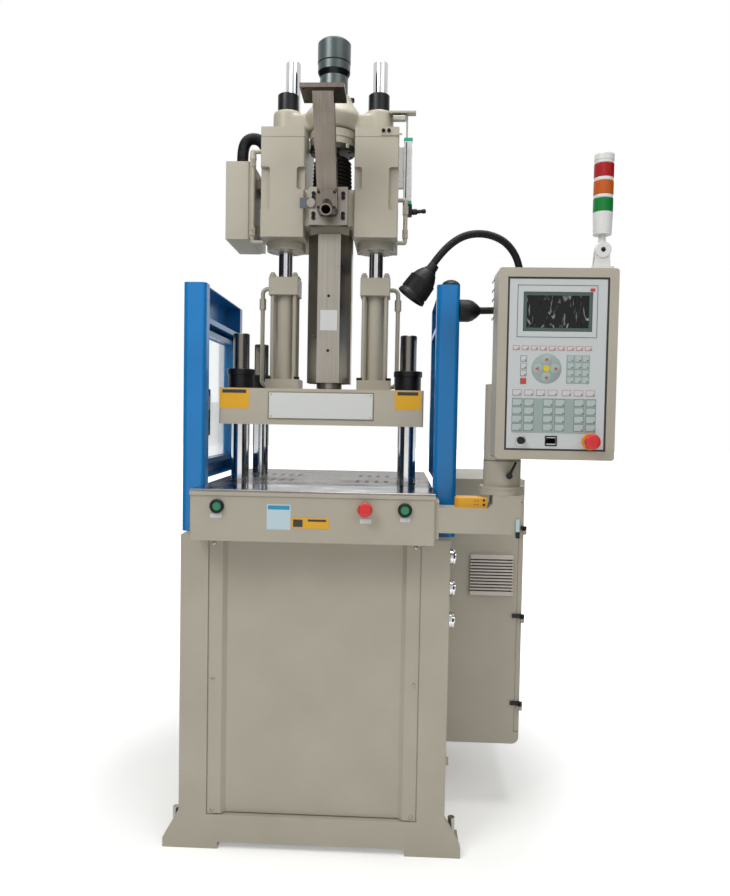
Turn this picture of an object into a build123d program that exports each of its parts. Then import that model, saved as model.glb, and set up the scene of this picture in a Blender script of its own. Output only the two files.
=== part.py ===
from build123d import *
import os

os.makedirs("parts", exist_ok=True)

# Vertical injection moulding machine, in millimetres.
# The origin is on the floor, on the nozzle axis. +X is to the operator's right, -Y faces the operator.

# Driving dimensions of the base and the mould table
base_width = 766
base_depth = 760
base_top = 911
base_wall = 8
end_plate = 30
deck_thickness = 11
foot_flare = 47
foot_length = 160
foot_rise = 20
foot_tip = 28
flare_height = 112
recess_width = 606
recess_bottom = 100
floor_height = 60
table_top = 1050
table_plate_thickness = 14
table_overhang = 92
table_lip = 4
lower_platen_inset = 53
sheet = 2
slide_gap = 0.3
seat_gap = 0.25

# Driving dimensions of the clamp
bar_spacing_x = 514
bar_spacing_y = 350
bar_radius = 27.5
bar_neck_radius = 25
bar_top = 1503
bar_bottom = 466
platen_bottom = 1227
platen_thickness = 107
platen_margin_x = 46
platen_margin_y = 94
nozzle_hole_radius = 50
bar_nut_radius = 42
bar_nut_height = 60
crosshead_bottom = 500
crosshead_thickness = 60
crosshead_margin_x = 43
crosshead_margin_y = 45
clamp_bore_radius = 60
clamp_barrel_radius = 110
clamp_barrel_bottom = 660
clamp_barrel_flange = 150
ram_top = 800

# Driving dimensions of the injection unit
column_x = 148
cylinder_y = -10
guide_y = 107
foot_block = 110
foot_block_height = 38
head_block = 96
head_block_height = 56
head_bottom = 1644
tube_radius = 31
tube_bore = 25.5
carriage_rod_radius = 23
cylinder_rod_pitch = 72
cylinder_rod_radius = 6.5
block_inner = 78
block_outer = 216
block_front = -115
block_back = 150
block_bottom = 1815
block_top = 2125
cover_thickness = 30
flange_radius = 61
flange_thickness = 27
injection_bore = 40
injection_rod_radius = 22
injection_piston_bottom = 1880
injection_piston_height = 40
guide_radius = 25
guide_top = 2448
beam_bottom = 2170
beam_top = 2250
beam_lobe = 44
hub_top = 2290
hub_radius = 58
hub_skirt = 104
motor_neck_radius = 45
motor_neck_height = 61
motor_radius = 53.5
motor_height = 115
rod_nut_radius = 33
rod_nut_height = 45
bearing_radius = 75
bearing_height = 64
throat_bottom = 1853
throat_top = 1965
throat_depth = 100
barrel_radius = 42
barrel_bore = 16
barrel_bottom = 1345
screw_radius = 15.9
screw_root = 10
screw_shank_radius = 19
nozzle_tip = 1245
heater_cover_width = 140
heater_cover_corner = 34
heater_cover_bottom = 1362
heater_cover_top = 1835
heater_cover_sheet = 1.5

# Driving dimensions of the guards, the cabinet and the control panel
guard_stand = 17
post_setback = 64
post_depth = 60
guard_top = 1636
guard_setback = 126
window_bottom = 1115
window_top = 1500
window_front_frame = 61
window_back_frame = 59
cabinet_width = 253
cabinet_front = -80
cabinet_back = 420
cabinet_bottom = 210
cabinet_top = 1063
door_thickness = 15
door_bottom = 252
door_top = 990
pillar_reach = 135
pillar_overhang = 20
pillar_radius = 51
pillar_lift = 11
pillar_height = 81
pillar_head_height = 207
panel_offset = 41
panel_width = 301
panel_stand = 160
panel_depth = 100
panel_lift = 11
panel_height = 485
tower_inset = 34
tower_radius = 25

# Values worked out from the driving dimensions
lower_platen_thickness = table_top - table_plate_thickness - base_top
platen_top = platen_bottom + platen_thickness
head_top = head_bottom + head_block_height
foot_reach = base_width / 2 + foot_flare
foot_inner = foot_reach - foot_length
lower_platen_width = base_width - 2 * lower_platen_inset
table_width = lower_platen_width + 2 * table_lip
table_front = -base_depth / 2 - table_overhang
table_back = base_depth / 2
crosshead_width = bar_spacing_x + 2 * crosshead_margin_x
crosshead_depth = bar_spacing_y + 2 * crosshead_margin_y
platen_width = bar_spacing_x + 2 * platen_margin_x
platen_depth = bar_spacing_y + 2 * platen_margin_y
guard_outer = base_width / 2 + guard_stand
guard_inner = table_width / 2
post_front = post_setback - base_depth / 2
post_back = post_front + post_depth
guard_back = base_depth / 2 - guard_setback
window_front = post_back + window_front_frame
window_back = guard_back - window_back_frame
cabinet_left = base_width / 2
cabinet_right = cabinet_left + cabinet_width
pillar_x = base_width / 2 + pillar_reach
pillar_y = -base_depth / 2 - pillar_overhang
pillar_bottom = table_top + pillar_lift
pillar_joint = pillar_bottom + pillar_height
pillar_top = pillar_joint + pillar_head_height
panel_left = pillar_x - panel_offset
panel_right = panel_left + panel_width
panel_front = pillar_y - panel_stand
panel_back = panel_front + panel_depth
panel_bottom = pillar_joint + panel_lift
panel_top = panel_bottom + panel_height
tower_x = panel_right - tower_inset
tower_y = (panel_front + panel_back) / 2
bar_places = [(-1, -1), (1, -1), (-1, 1), (1, 1)]
sides = [("left", -1), ("right", 1)]


# Base frame: two profiled end plates with flared feet, side sheets, deck, floor and anchor lugs.
# Hoses and cables pass to the control cabinet through an opening low in the right side sheet.
lug_length = 103
lug_thickness = 12
lug_pitch = base_depth - 2 * end_plate - lug_length
hole_inset = 23.5
levelling_offset = 21.5
anchor_pitch = lug_pitch - 2 * hole_inset
levelling_pitch = lug_pitch + 2 * levelling_offset
anchor_radius = 9
levelling_radius = 10
cover_lip = 20
cover_rebate = 5
lug_spacing = base_width + foot_flare
passage_length = 160
passage_height = 56
passage_y = 200
passage_z = cabinet_bottom + 37
with BuildPart() as base_frame:
    with BuildSketch(Plane.XZ.offset(base_depth / 2)) as end_outline:
        with BuildLine():
            Polyline(
                (0, foot_rise),
                (foot_inner, foot_rise),
                (foot_inner, 0),
                (foot_reach, 0),
                (foot_reach, foot_tip),
                (base_width / 2, flare_height),
                (base_width / 2, base_top),
                (0, base_top),
            )
            mirror(about=Plane.YZ)
        make_face()
        fillet(end_outline.vertices().filter_by_position(Axis.Z, foot_tip - 1, foot_tip + 1), radius=9)
        with Locations((0, (recess_bottom + base_top - deck_thickness) / 2)):
            Rectangle(
                recess_width - 2 * cover_lip,
                base_top - deck_thickness - recess_bottom,
                mode=Mode.SUBTRACT,
            )
    extrude(amount=-end_plate)
    with BuildSketch(Plane.XZ.offset(base_depth / 2)):
        with Locations((0, (recess_bottom + base_top - deck_thickness) / 2)):
            Rectangle(recess_width, base_top - deck_thickness - recess_bottom)
    extrude(amount=-cover_rebate, mode=Mode.SUBTRACT)
    mirror(about=Plane.XZ)
    with BuildSketch(Plane.XY.offset(floor_height)):
        Rectangle(base_width, base_depth - 2 * end_plate)
        Rectangle(base_width - 2 * base_wall, base_depth - 2 * end_plate, mode=Mode.SUBTRACT)
    extrude(amount=base_top - floor_height)
    with BuildSketch(Plane.YZ.offset(base_width / 2)):
        with Locations((passage_y, passage_z)):
            Rectangle(passage_length, passage_height)
    extrude(amount=-base_wall, mode=Mode.SUBTRACT)
    with BuildSketch(Plane.XY.offset(floor_height)):
        Rectangle(base_width, base_depth - 2 * end_plate)
    extrude(amount=base_wall)
    with BuildSketch(Plane.XY.offset(base_top - deck_thickness)):
        Rectangle(base_width, base_depth)
        Rectangle(crosshead_width + 20, crosshead_depth + 60, mode=Mode.SUBTRACT)
    extrude(amount=deck_thickness)
    with BuildSketch(Plane.XY):
        with GridLocations(lug_spacing, lug_pitch, 2, 2):
            Rectangle(foot_flare, lug_length)
        with GridLocations(lug_spacing, anchor_pitch, 2, 2):
            Circle(anchor_radius, mode=Mode.SUBTRACT)
        with GridLocations(lug_spacing, levelling_pitch, 2, 2):
            Circle(levelling_radius + seat_gap, mode=Mode.SUBTRACT)
    extrude(amount=lug_thickness)
base_frame.part.label = "base_frame"
export_step(base_frame.part, "parts/base_frame.step")

# Levelling bolts: they reach the floor through the lugs and carry a hexagon nut
levelling_length = 90
levelling_nut = 16
with BuildPart() as levelling_bolts:
    with BuildSketch(Plane.XY):
        with GridLocations(lug_spacing, levelling_pitch, 2, 2):
            Circle(levelling_radius)
    extrude(amount=levelling_length)
    with BuildSketch(Plane.XY.offset(lug_thickness)):
        with GridLocations(lug_spacing, levelling_pitch, 2, 2):
            RegularPolygon(levelling_nut, 6)
    extrude(amount=levelling_nut)
levelling_bolts.part.label = "levelling_bolts"
export_step(levelling_bolts.part, "parts/levelling_bolts.step")

# Front cover: one sheet folded into a raised strip at each side and a sunk middle
panel_margin = 3
strip_width = 38
fold_run = 12
strip_setback = cover_rebate - sheet
middle_setback = 15
half_cover = recess_width / 2 - panel_margin
cover_front = -base_depth / 2 + strip_setback
cover_middle = -base_depth / 2 + middle_setback
cover_height = base_top - deck_thickness - recess_bottom - 2 * panel_margin
with BuildPart() as front_cover:
    with BuildSketch(Plane.XY.offset(recess_bottom + panel_margin)):
        with BuildLine():
            Polyline(
                (0, cover_middle),
                (half_cover - strip_width - fold_run, cover_middle),
                (half_cover - strip_width, cover_front),
                (half_cover, cover_front),
                (half_cover, cover_front + sheet),
                (half_cover - strip_width + sheet, cover_front + sheet),
                (half_cover - strip_width - fold_run + sheet, cover_middle + sheet),
                (0, cover_middle + sheet),
            )
            mirror(about=Plane.YZ)
        make_face()
    extrude(amount=cover_height)
front_cover.part.label = "front_cover"
export_step(front_cover.part, "parts/front_cover.step")

# Rear cover: a flat sheet with two banks of cooling slots
with BuildPart() as rear_cover:
    with BuildSketch(Plane.XZ.offset(-base_depth / 2 + strip_setback)):
        with Locations((0, recess_bottom + panel_margin + cover_height / 2)):
            Rectangle(2 * half_cover, cover_height)
        with Locations((0, 250), (0, 720)):
            with GridLocations(150, 16, 3, 8):
                SlotOverall(120, 7, mode=Mode.SUBTRACT)
    extrude(amount=sheet)
rear_cover.part.label = "rear_cover"
export_step(rear_cover.part, "parts/rear_cover.step")

# Oil tank: a closed sheet box on the base floor, with a filler boss
tank_height = 230
tank_bottom = floor_height + base_wall
tank_side_gap = 65
tank_rear_gap = 60
tank_depth = 440
tank_wall = 5
tank_width = base_width - 2 * (base_wall + tank_side_gap)
tank_y = base_depth / 2 - end_plate - tank_rear_gap - tank_depth / 2
with BuildPart() as oil_tank:
    with BuildSketch(Plane.XY.offset(tank_bottom)):
        with Locations((0, tank_y)):
            RectangleRounded(tank_width, tank_depth, 20)
    extrude(amount=tank_height)
    offset(amount=-tank_wall, openings=oil_tank.faces().sort_by(Axis.Z)[-1])
    with BuildSketch(Plane.XY.offset(tank_bottom + tank_height)):
        with Locations((0, tank_y)):
            RectangleRounded(tank_width, tank_depth, 20)
        with Locations((tank_width / 2 - 110, tank_y + 110)):
            Circle(30, mode=Mode.SUBTRACT)
    extrude(amount=tank_wall)
oil_tank.part.label = "oil_tank"
export_step(oil_tank.part, "parts/oil_tank.step")

# Water couplings: three plated connectors that stand out of the right side of the base
coupling_heights = [665, 760, 851]
coupling_y = 80 - base_depth / 2
with BuildPart() as water_couplings:
    for height in coupling_heights:
        with BuildSketch(Plane.YZ.offset(base_width / 2)):
            with Locations((coupling_y, height)):
                Circle(17)
        extrude(amount=5)
        with BuildSketch(Plane.YZ.offset(base_width / 2 + 5)):
            with Locations((coupling_y, height)):
                RegularPolygon(14, 6)
        extrude(amount=7)
        with BuildSketch(Plane.YZ.offset(base_width / 2 + 12)):
            with Locations((coupling_y, height)):
                Circle(10)
                Circle(6, mode=Mode.SUBTRACT)
        extrude(amount=10)
water_couplings.part.label = "water_couplings"
export_step(water_couplings.part, "parts/water_couplings.step")

# Lower platen: the thick plate that carries the mould and guides the tie bars
with BuildPart() as lower_platen:
    with BuildSketch(Plane.XY.offset(base_top)):
        Rectangle(lower_platen_width, base_depth)
        with GridLocations(bar_spacing_x, bar_spacing_y, 2, 2):
            Circle(bar_radius + slide_gap, mode=Mode.SUBTRACT)
    extrude(amount=lower_platen_thickness)
lower_platen.part.label = "lower_platen"
export_step(lower_platen.part, "parts/lower_platen.step")

# Table plate: the ground steel top with its rows of clamping holes
clamp_hole_radius = 7
clamp_hole_pitch = 30
clamp_hole_rows = 3
clamp_hole_columns = 4
table_middle = (table_front + table_back) / 2
with BuildPart() as table_plate:
    with BuildSketch(Plane.XY.offset(table_top - table_plate_thickness)):
        with Locations((0, table_middle)):
            Rectangle(table_width, table_back - table_front)
        with GridLocations(bar_spacing_x, bar_spacing_y, 2, 2):
            Circle(bar_radius + 2, mode=Mode.SUBTRACT)
        with GridLocations(300, 220, 2, 2):
            with GridLocations(clamp_hole_pitch, clamp_hole_pitch, clamp_hole_columns, clamp_hole_rows):
                Circle(clamp_hole_radius, mode=Mode.SUBTRACT)
    extrude(amount=table_plate_thickness)
    chamfer(table_plate.faces().sort_by(Axis.Z)[-1].outer_wire().edges(), length=1.5)
table_plate.part.label = "table_plate"
export_step(table_plate.part, "parts/table_plate.step")

# Front apron: a folded sheet box below the table edge, open to the rear, with holes for the buttons
apron_bottom = 910
apron_front = table_front + 2
apron_back = -base_depth / 2
apron_wall = 3
apron_height = table_top - table_plate_thickness - apron_bottom
button_row = 1005
start_x = [76 - table_width / 2, table_width / 2 - 82]
stop_x = start_x[1] - 107
button_hole = 15
with BuildPart() as front_apron:
    with BuildSketch(Plane.XY.offset(apron_bottom)):
        with Locations((0, (apron_front + apron_back) / 2)):
            Rectangle(table_width, apron_back - apron_front)
    extrude(amount=apron_height)
    fillet(front_apron.edges().filter_by(Axis.Z).group_by(Axis.Y)[0], radius=apron_wall + 2)
    offset(amount=-apron_wall, openings=front_apron.faces().sort_by(Axis.Y)[-1])
    with BuildSketch(Plane.XZ.offset(-apron_front)):
        with Locations((start_x[0], button_row), (start_x[1], button_row), (stop_x, button_row)):
            Circle(button_hole)
    extrude(amount=-apron_wall, mode=Mode.SUBTRACT)
front_apron.part.label = "front_apron"
export_step(front_apron.part, "parts/front_apron.step")

# Button collars: black bezels with a threaded neck through the apron, and a yellow one for the stop
collar_depth = 11
button_radius = 12.5
stem_radius = 8
with BuildPart() as button_collars:
    with BuildSketch(Plane.XZ.offset(-apron_front)):
        with Locations((start_x[0], button_row), (start_x[1], button_row)):
            Circle(19)
            Circle(button_radius + slide_gap, mode=Mode.SUBTRACT)
    extrude(amount=collar_depth)
    chamfer(button_collars.faces().sort_by(Axis.Y)[0].outer_wire().edges(), length=2)
    chamfer(button_collars.faces().sort_by(Axis.Y)[1].outer_wire().edges(), length=2)
    with BuildSketch(Plane.XZ.offset(-apron_front)):
        with Locations((start_x[0], button_row), (start_x[1], button_row)):
            Circle(button_hole - seat_gap)
            Circle(button_radius + slide_gap, mode=Mode.SUBTRACT)
        with Locations((stop_x, button_row)):
            Circle(button_hole - seat_gap)
            Circle(stem_radius + slide_gap, mode=Mode.SUBTRACT)
    extrude(amount=-20)
    with BuildSketch(Plane.XZ.offset(-apron_front)):
        with Locations((stop_x, button_row)):
            Circle(17)
            Circle(stem_radius + slide_gap, mode=Mode.SUBTRACT)
    extrude(amount=10)
button_collars.part.label = "button_collars"
export_step(button_collars.part, "parts/button_collars.step")

for side, place in zip(("left", "right"), start_x):
    with BuildPart() as start_button:
        with BuildSketch(Plane.XZ.offset(-apron_front - 16)):
            with Locations((place, button_row)):
                Circle(button_radius)
        extrude(amount=16 + collar_depth - 2)
        fillet(start_button.faces().sort_by(Axis.Y)[0].edges(), radius=1.5)
    start_button.part.label = f"start_button_{side}"
    export_step(start_button.part, f"parts/start_button_{side}.step")

# Stop button: a mushroom head on a stem that slides in its collar
mushroom_radius = 20
mushroom_lift = 16
mushroom_thickness = 14
with BuildPart() as stop_button:
    with BuildSketch(Plane((stop_x, apron_front, button_row), x_dir=(1, 0, 0), z_dir=(0, 0, 1))):
        with BuildLine():
            Polyline(
                (0, 16),
                (stem_radius, 16),
                (stem_radius, -mushroom_lift),
                (mushroom_radius, -mushroom_lift),
                (mushroom_radius, -mushroom_lift - mushroom_thickness / 2),
            )
            Spline(
                (mushroom_radius, -mushroom_lift - mushroom_thickness / 2),
                (0, -mushroom_lift - mushroom_thickness),
                tangents=((0, -1), (-1, 0)),
            )
            Line((0, -mushroom_lift - mushroom_thickness), (0, 16))
        make_face()
    revolve(axis=Axis((stop_x, apron_front, button_row), (0, 1, 0)))
stop_button.part.label = "stop_button"
export_step(stop_button.part, "parts/stop_button.step")

# Clamp cylinder: hangs under the lower platen through the opening in the deck
with BuildPart() as clamp_cylinder:
    with BuildSketch(Plane.XY.offset(clamp_barrel_bottom)):
        Circle(clamp_barrel_radius)
    extrude(amount=base_top - clamp_barrel_bottom)
    with BuildSketch(Plane.XY.offset(base_top - 30)):
        Circle(clamp_barrel_flange)
        with PolarLocations(clamp_barrel_flange - 16, 12):
            Circle(7, mode=Mode.SUBTRACT)
    extrude(amount=30)
    with BuildSketch(Plane.XY.offset(clamp_barrel_bottom)):
        Circle(clamp_bore_radius + slide_gap)
    extrude(amount=base_top - clamp_barrel_bottom - 20, mode=Mode.SUBTRACT)
clamp_cylinder.part.label = "clamp_cylinder"
export_step(clamp_cylinder.part, "parts/clamp_cylinder.step")

# Clamp crosshead: the plate that pulls on the four tie bars, with the ram that is bolted to it
with BuildPart() as clamp_crosshead:
    with BuildSketch(Plane.XY.offset(crosshead_bottom)):
        RectangleRounded(crosshead_width, crosshead_depth, 30)
        with GridLocations(bar_spacing_x, bar_spacing_y, 2, 2):
            Circle(bar_neck_radius + seat_gap, mode=Mode.SUBTRACT)
    extrude(amount=crosshead_thickness)
    with BuildSketch(Plane.XY.offset(crosshead_bottom + crosshead_thickness)):
        Circle(clamp_bore_radius)
    extrude(amount=ram_top - crosshead_bottom - crosshead_thickness)
    chamfer(clamp_crosshead.faces().sort_by(Axis.Z)[-1].edges(), length=4)
clamp_crosshead.part.label = "clamp_crosshead"
export_step(clamp_crosshead.part, "parts/clamp_crosshead.step")

# Tie bars: turned shafts with a shoulder at the crosshead and one under the upper platen
with BuildPart() as tie_bars:
    for across, along in bar_places:
        bar_x = across * bar_spacing_x / 2
        bar_y = along * bar_spacing_y / 2
        with BuildSketch(Plane((bar_x, bar_y, 0), x_dir=(1, 0, 0), z_dir=(0, -1, 0))):
            with BuildLine():
                Polyline(
                    (0, bar_bottom),
                    (bar_neck_radius, bar_bottom),
                    (bar_neck_radius, crosshead_bottom + crosshead_thickness),
                    (bar_radius, crosshead_bottom + crosshead_thickness),
                    (bar_radius, platen_bottom),
                    (bar_neck_radius, platen_bottom),
                    (bar_neck_radius, bar_top - 2),
                    (bar_neck_radius - 2, bar_top),
                    (0, bar_top),
                    close=True,
                )
            make_face()
        revolve(axis=Axis((bar_x, bar_y, 0), (0, 0, 1)))
tie_bars.part.label = "tie_bars"
export_step(tie_bars.part, "parts/tie_bars.step")

# Tie bar nuts: black round nuts with a flanged top above the platen, plain ones under the crosshead
with BuildPart() as tie_bar_nuts:
    with BuildSketch(Plane.XY.offset(platen_top)):
        with GridLocations(bar_spacing_x, bar_spacing_y, 2, 2):
            Circle(bar_nut_radius - 2)
            Circle(bar_neck_radius + seat_gap, mode=Mode.SUBTRACT)
    extrude(amount=bar_nut_height - 14)
    with BuildSketch(Plane.XY.offset(platen_top + bar_nut_height - 14)):
        with GridLocations(bar_spacing_x, bar_spacing_y, 2, 2):
            Circle(bar_nut_radius)
            with PolarLocations(bar_nut_radius, 4):
                Rectangle(8, 10, mode=Mode.SUBTRACT)
            Circle(bar_neck_radius + seat_gap, mode=Mode.SUBTRACT)
    extrude(amount=14)
    with BuildSketch(Plane.XY.offset(bar_bottom + 4)):
        with GridLocations(bar_spacing_x, bar_spacing_y, 2, 2):
            RegularPolygon(bar_nut_radius, 6)
            Circle(bar_neck_radius + seat_gap, mode=Mode.SUBTRACT)
    extrude(amount=crosshead_bottom - bar_bottom - 4)
tie_bar_nuts.part.label = "tie_bar_nuts"
export_step(tie_bar_nuts.part, "parts/tie_bar_nuts.step")

# Upper platen: the moving plate, with the nozzle hole and the mould clamping holes under it
with BuildPart() as upper_platen:
    with BuildSketch(Plane.XY.offset(platen_bottom)):
        Rectangle(platen_width, platen_depth)
        Circle(nozzle_hole_radius, mode=Mode.SUBTRACT)
        with GridLocations(bar_spacing_x, bar_spacing_y, 2, 2):
            Circle(bar_neck_radius + seat_gap, mode=Mode.SUBTRACT)
    extrude(amount=platen_thickness)
    fillet(upper_platen.edges().filter_by(Axis.Z).group_by(Axis.Y)[0], radius=6)
    with BuildSketch(Plane.XY.offset(platen_bottom)):
        with GridLocations(140, 320, 2, 2):
            with GridLocations(60, 60, 2, 2):
                Circle(7)
    extrude(amount=25, mode=Mode.SUBTRACT)
upper_platen.part.label = "upper_platen"
export_step(upper_platen.part, "parts/upper_platen.step")

# Carriage cylinders: a foot, a tube and a head held together by four tie rods, with a hard pipe outside
port_height = 24
pipe_radius = 7
pipe_reach = 26
pipe_bend = 16
tube_bottom = platen_top + foot_block_height
cylinder_places = [(-column_x, cylinder_y), (column_x, cylinder_y)]
with BuildPart() as carriage_cylinders:
    with BuildSketch(Plane.XY.offset(platen_top)):
        with Locations(cylinder_places):
            RectangleRounded(foot_block, foot_block, 5)
            with GridLocations(cylinder_rod_pitch, cylinder_rod_pitch, 2, 2):
                Circle(cylinder_rod_radius + seat_gap, mode=Mode.SUBTRACT)
    extrude(amount=foot_block_height)
    with BuildSketch(Plane.XY.offset(tube_bottom)):
        with Locations(cylinder_places):
            Circle(tube_radius)
    extrude(amount=head_bottom - tube_bottom)
    with BuildSketch(Plane.XY.offset(head_bottom)):
        with Locations(cylinder_places):
            RectangleRounded(head_block, head_block, 4)
            with GridLocations(cylinder_rod_pitch, cylinder_rod_pitch, 2, 2):
                Circle(cylinder_rod_radius + seat_gap, mode=Mode.SUBTRACT)
    extrude(amount=head_block_height)
    with BuildSketch(Plane.XY.offset(tube_bottom)):
        with Locations(cylinder_places):
            Circle(tube_bore)
    extrude(amount=head_bottom - tube_bottom, mode=Mode.SUBTRACT)
    with BuildSketch(Plane.XY.offset(head_bottom)):
        with Locations(cylinder_places):
            Circle(carriage_rod_radius + slide_gap)
    extrude(amount=head_block_height, mode=Mode.SUBTRACT)
carriage_cylinders.part.label = "carriage_cylinders"
export_step(carriage_cylinders.part, "parts/carriage_cylinders.step")

# Carriage rams: chromed rods with a piston inside the tube and a bolted flange under each block
with BuildPart() as carriage_rams:
    with BuildSketch(Plane.XY.offset(tube_bottom + 20)):
        with Locations(cylinder_places):
            Circle(carriage_rod_radius)
    extrude(amount=block_bottom - flange_thickness - tube_bottom - 20)
    with BuildSketch(Plane.XY.offset(tube_bottom + 20)):
        with Locations(cylinder_places):
            Circle(tube_bore - slide_gap)
    extrude(amount=25)
    with BuildSketch(Plane.XY.offset(block_bottom - flange_thickness)):
        with Locations(cylinder_places):
            Circle(flange_radius)
            with PolarLocations(flange_radius - 12, 6):
                Circle(5.5, mode=Mode.SUBTRACT)
    extrude(amount=flange_thickness)
    flange_edges = carriage_rams.edges().filter_by(GeomType.CIRCLE)
    fillet(
        flange_edges.filter_by(lambda edge: abs(edge.radius - flange_radius) < 1).group_by(Axis.Z)[0],
        radius=3,
    )
carriage_rams.part.label = "carriage_rams"
export_step(carriage_rams.part, "parts/carriage_rams.step")

with BuildPart() as cylinder_tie_rods:
    for side, sign in sides:
        with BuildSketch(Plane.XY.offset(platen_top + 4)):
            with Locations((sign * column_x, cylinder_y)):
                with GridLocations(cylinder_rod_pitch, cylinder_rod_pitch, 2, 2):
                    Circle(cylinder_rod_radius)
        extrude(amount=head_top + 16 - platen_top - 4)
        with BuildSketch(Plane.XY.offset(head_top)):
            with Locations((sign * column_x, cylinder_y)):
                with GridLocations(cylinder_rod_pitch, cylinder_rod_pitch, 2, 2):
                    RegularPolygon(10, 6)
        extrude(amount=11)
cylinder_tie_rods.part.label = "cylinder_tie_rods"
export_step(cylinder_tie_rods.part, "parts/cylinder_tie_rods.step")

with BuildPart() as carriage_pipes:
    for side, sign in sides:
        pipe_start = sign * (column_x + head_block / 2)
        pipe_end = sign * (column_x + foot_block / 2)
        pipe_run = pipe_start + sign * pipe_reach
        with BuildLine():
            FilletPolyline(
                (pipe_start, cylinder_y, head_bottom + port_height),
                (pipe_run, cylinder_y, head_bottom + port_height),
                (pipe_run, cylinder_y, platen_top + foot_block_height / 2),
                (pipe_end, cylinder_y, platen_top + foot_block_height / 2),
                radius=pipe_bend,
            )
        with BuildSketch(Plane((pipe_start, cylinder_y, head_bottom + port_height), z_dir=(sign, 0, 0))):
            Circle(pipe_radius)
        sweep()
        with BuildSketch(Plane.XY.offset(head_bottom - 44)):
            with Locations((pipe_run, cylinder_y)):
                RegularPolygon(11, 6)
        extrude(amount=36)
carriage_pipes.part.label = "carriage_pipes"
export_step(carriage_pipes.part, "parts/carriage_pipes.step")

# Injection cylinders: cored blocks with pockets in their front edges, a cover on top and a flange below
pocket_depth = 14
outer_pocket = 30
inner_pocket = 24
pocket_top = 2032
outer_pocket_bottom = 1900
inner_pocket_bottom = 1962
bore_floor = 30
block_width = block_outer - block_inner
block_depth = block_back - block_front
block_centre = (block_inner + block_outer) / 2
block_middle = (block_front + block_back) / 2
with BuildPart() as injection_blocks:
    for side, sign in sides:
        with BuildSketch(Plane.XY.offset(block_bottom)):
            with Locations((sign * block_centre, block_middle)):
                RectangleRounded(block_width, block_depth, 5)
        extrude(amount=block_top - block_bottom)
        with BuildSketch(Plane.XZ.offset(-block_front)):
            with Locations((sign * block_outer, (pocket_top + outer_pocket_bottom) / 2)):
                RectangleRounded(2 * outer_pocket, pocket_top - outer_pocket_bottom, 9)
            with Locations((sign * block_inner, (pocket_top + inner_pocket_bottom) / 2)):
                RectangleRounded(2 * inner_pocket, pocket_top - inner_pocket_bottom, 9)
        extrude(amount=-pocket_depth, mode=Mode.SUBTRACT)
        with BuildSketch(Plane.XY.offset(block_bottom + bore_floor)):
            with Locations((sign * column_x, 0)):
                Circle(injection_bore)
        extrude(amount=block_top - block_bottom - bore_floor, mode=Mode.SUBTRACT)
        with BuildSketch(Plane.XY.offset(block_bottom)):
            with Locations((sign * column_x, guide_y)):
                Circle(guide_radius)
        extrude(amount=block_top - block_bottom, mode=Mode.SUBTRACT)
injection_blocks.part.label = "injection_blocks"
export_step(injection_blocks.part, "parts/injection_blocks.step")

with BuildPart() as block_covers:
    for side, sign in sides:
        with BuildSketch(Plane.XY.offset(block_top)):
            with Locations((sign * block_centre, block_middle)):
                RectangleRounded(block_width, block_depth, 5)
            with Locations((sign * column_x, 0)):
                Circle(injection_rod_radius + slide_gap, mode=Mode.SUBTRACT)
            with Locations((sign * column_x, guide_y)):
                Circle(guide_radius + seat_gap, mode=Mode.SUBTRACT)
        extrude(amount=cover_thickness)
block_covers.part.label = "block_covers"
export_step(block_covers.part, "parts/block_covers.step")

with BuildPart() as guide_rods:
    with BuildSketch(Plane.XY.offset(block_bottom)):
        with Locations((-column_x, guide_y), (column_x, guide_y)):
            Circle(guide_radius)
    extrude(amount=guide_top - block_bottom)
    fillet(guide_rods.edges().group_by(Axis.Z)[-1], radius=4)
guide_rods.part.label = "guide_rods"
export_step(guide_rods.part, "parts/guide_rods.step")

with BuildPart() as injection_rods:
    with BuildSketch(Plane.XY.offset(injection_piston_bottom)):
        with Locations((-column_x, 0), (column_x, 0)):
            Circle(injection_bore - slide_gap)
    extrude(amount=injection_piston_height)
    with BuildSketch(Plane.XY.offset(injection_piston_bottom)):
        with Locations((-column_x, 0), (column_x, 0)):
            Circle(injection_rod_radius)
    extrude(amount=beam_top + rod_nut_height - injection_piston_bottom)
    with BuildSketch(Plane.XY.offset(beam_top)):
        with Locations((-column_x, 0), (column_x, 0)):
            Circle(rod_nut_radius)
    extrude(amount=rod_nut_height)
    chamfer(injection_rods.edges().group_by(Axis.Z)[-1], length=2)
injection_rods.part.label = "injection_rods"
export_step(injection_rods.part, "parts/injection_rods.step")

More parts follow.
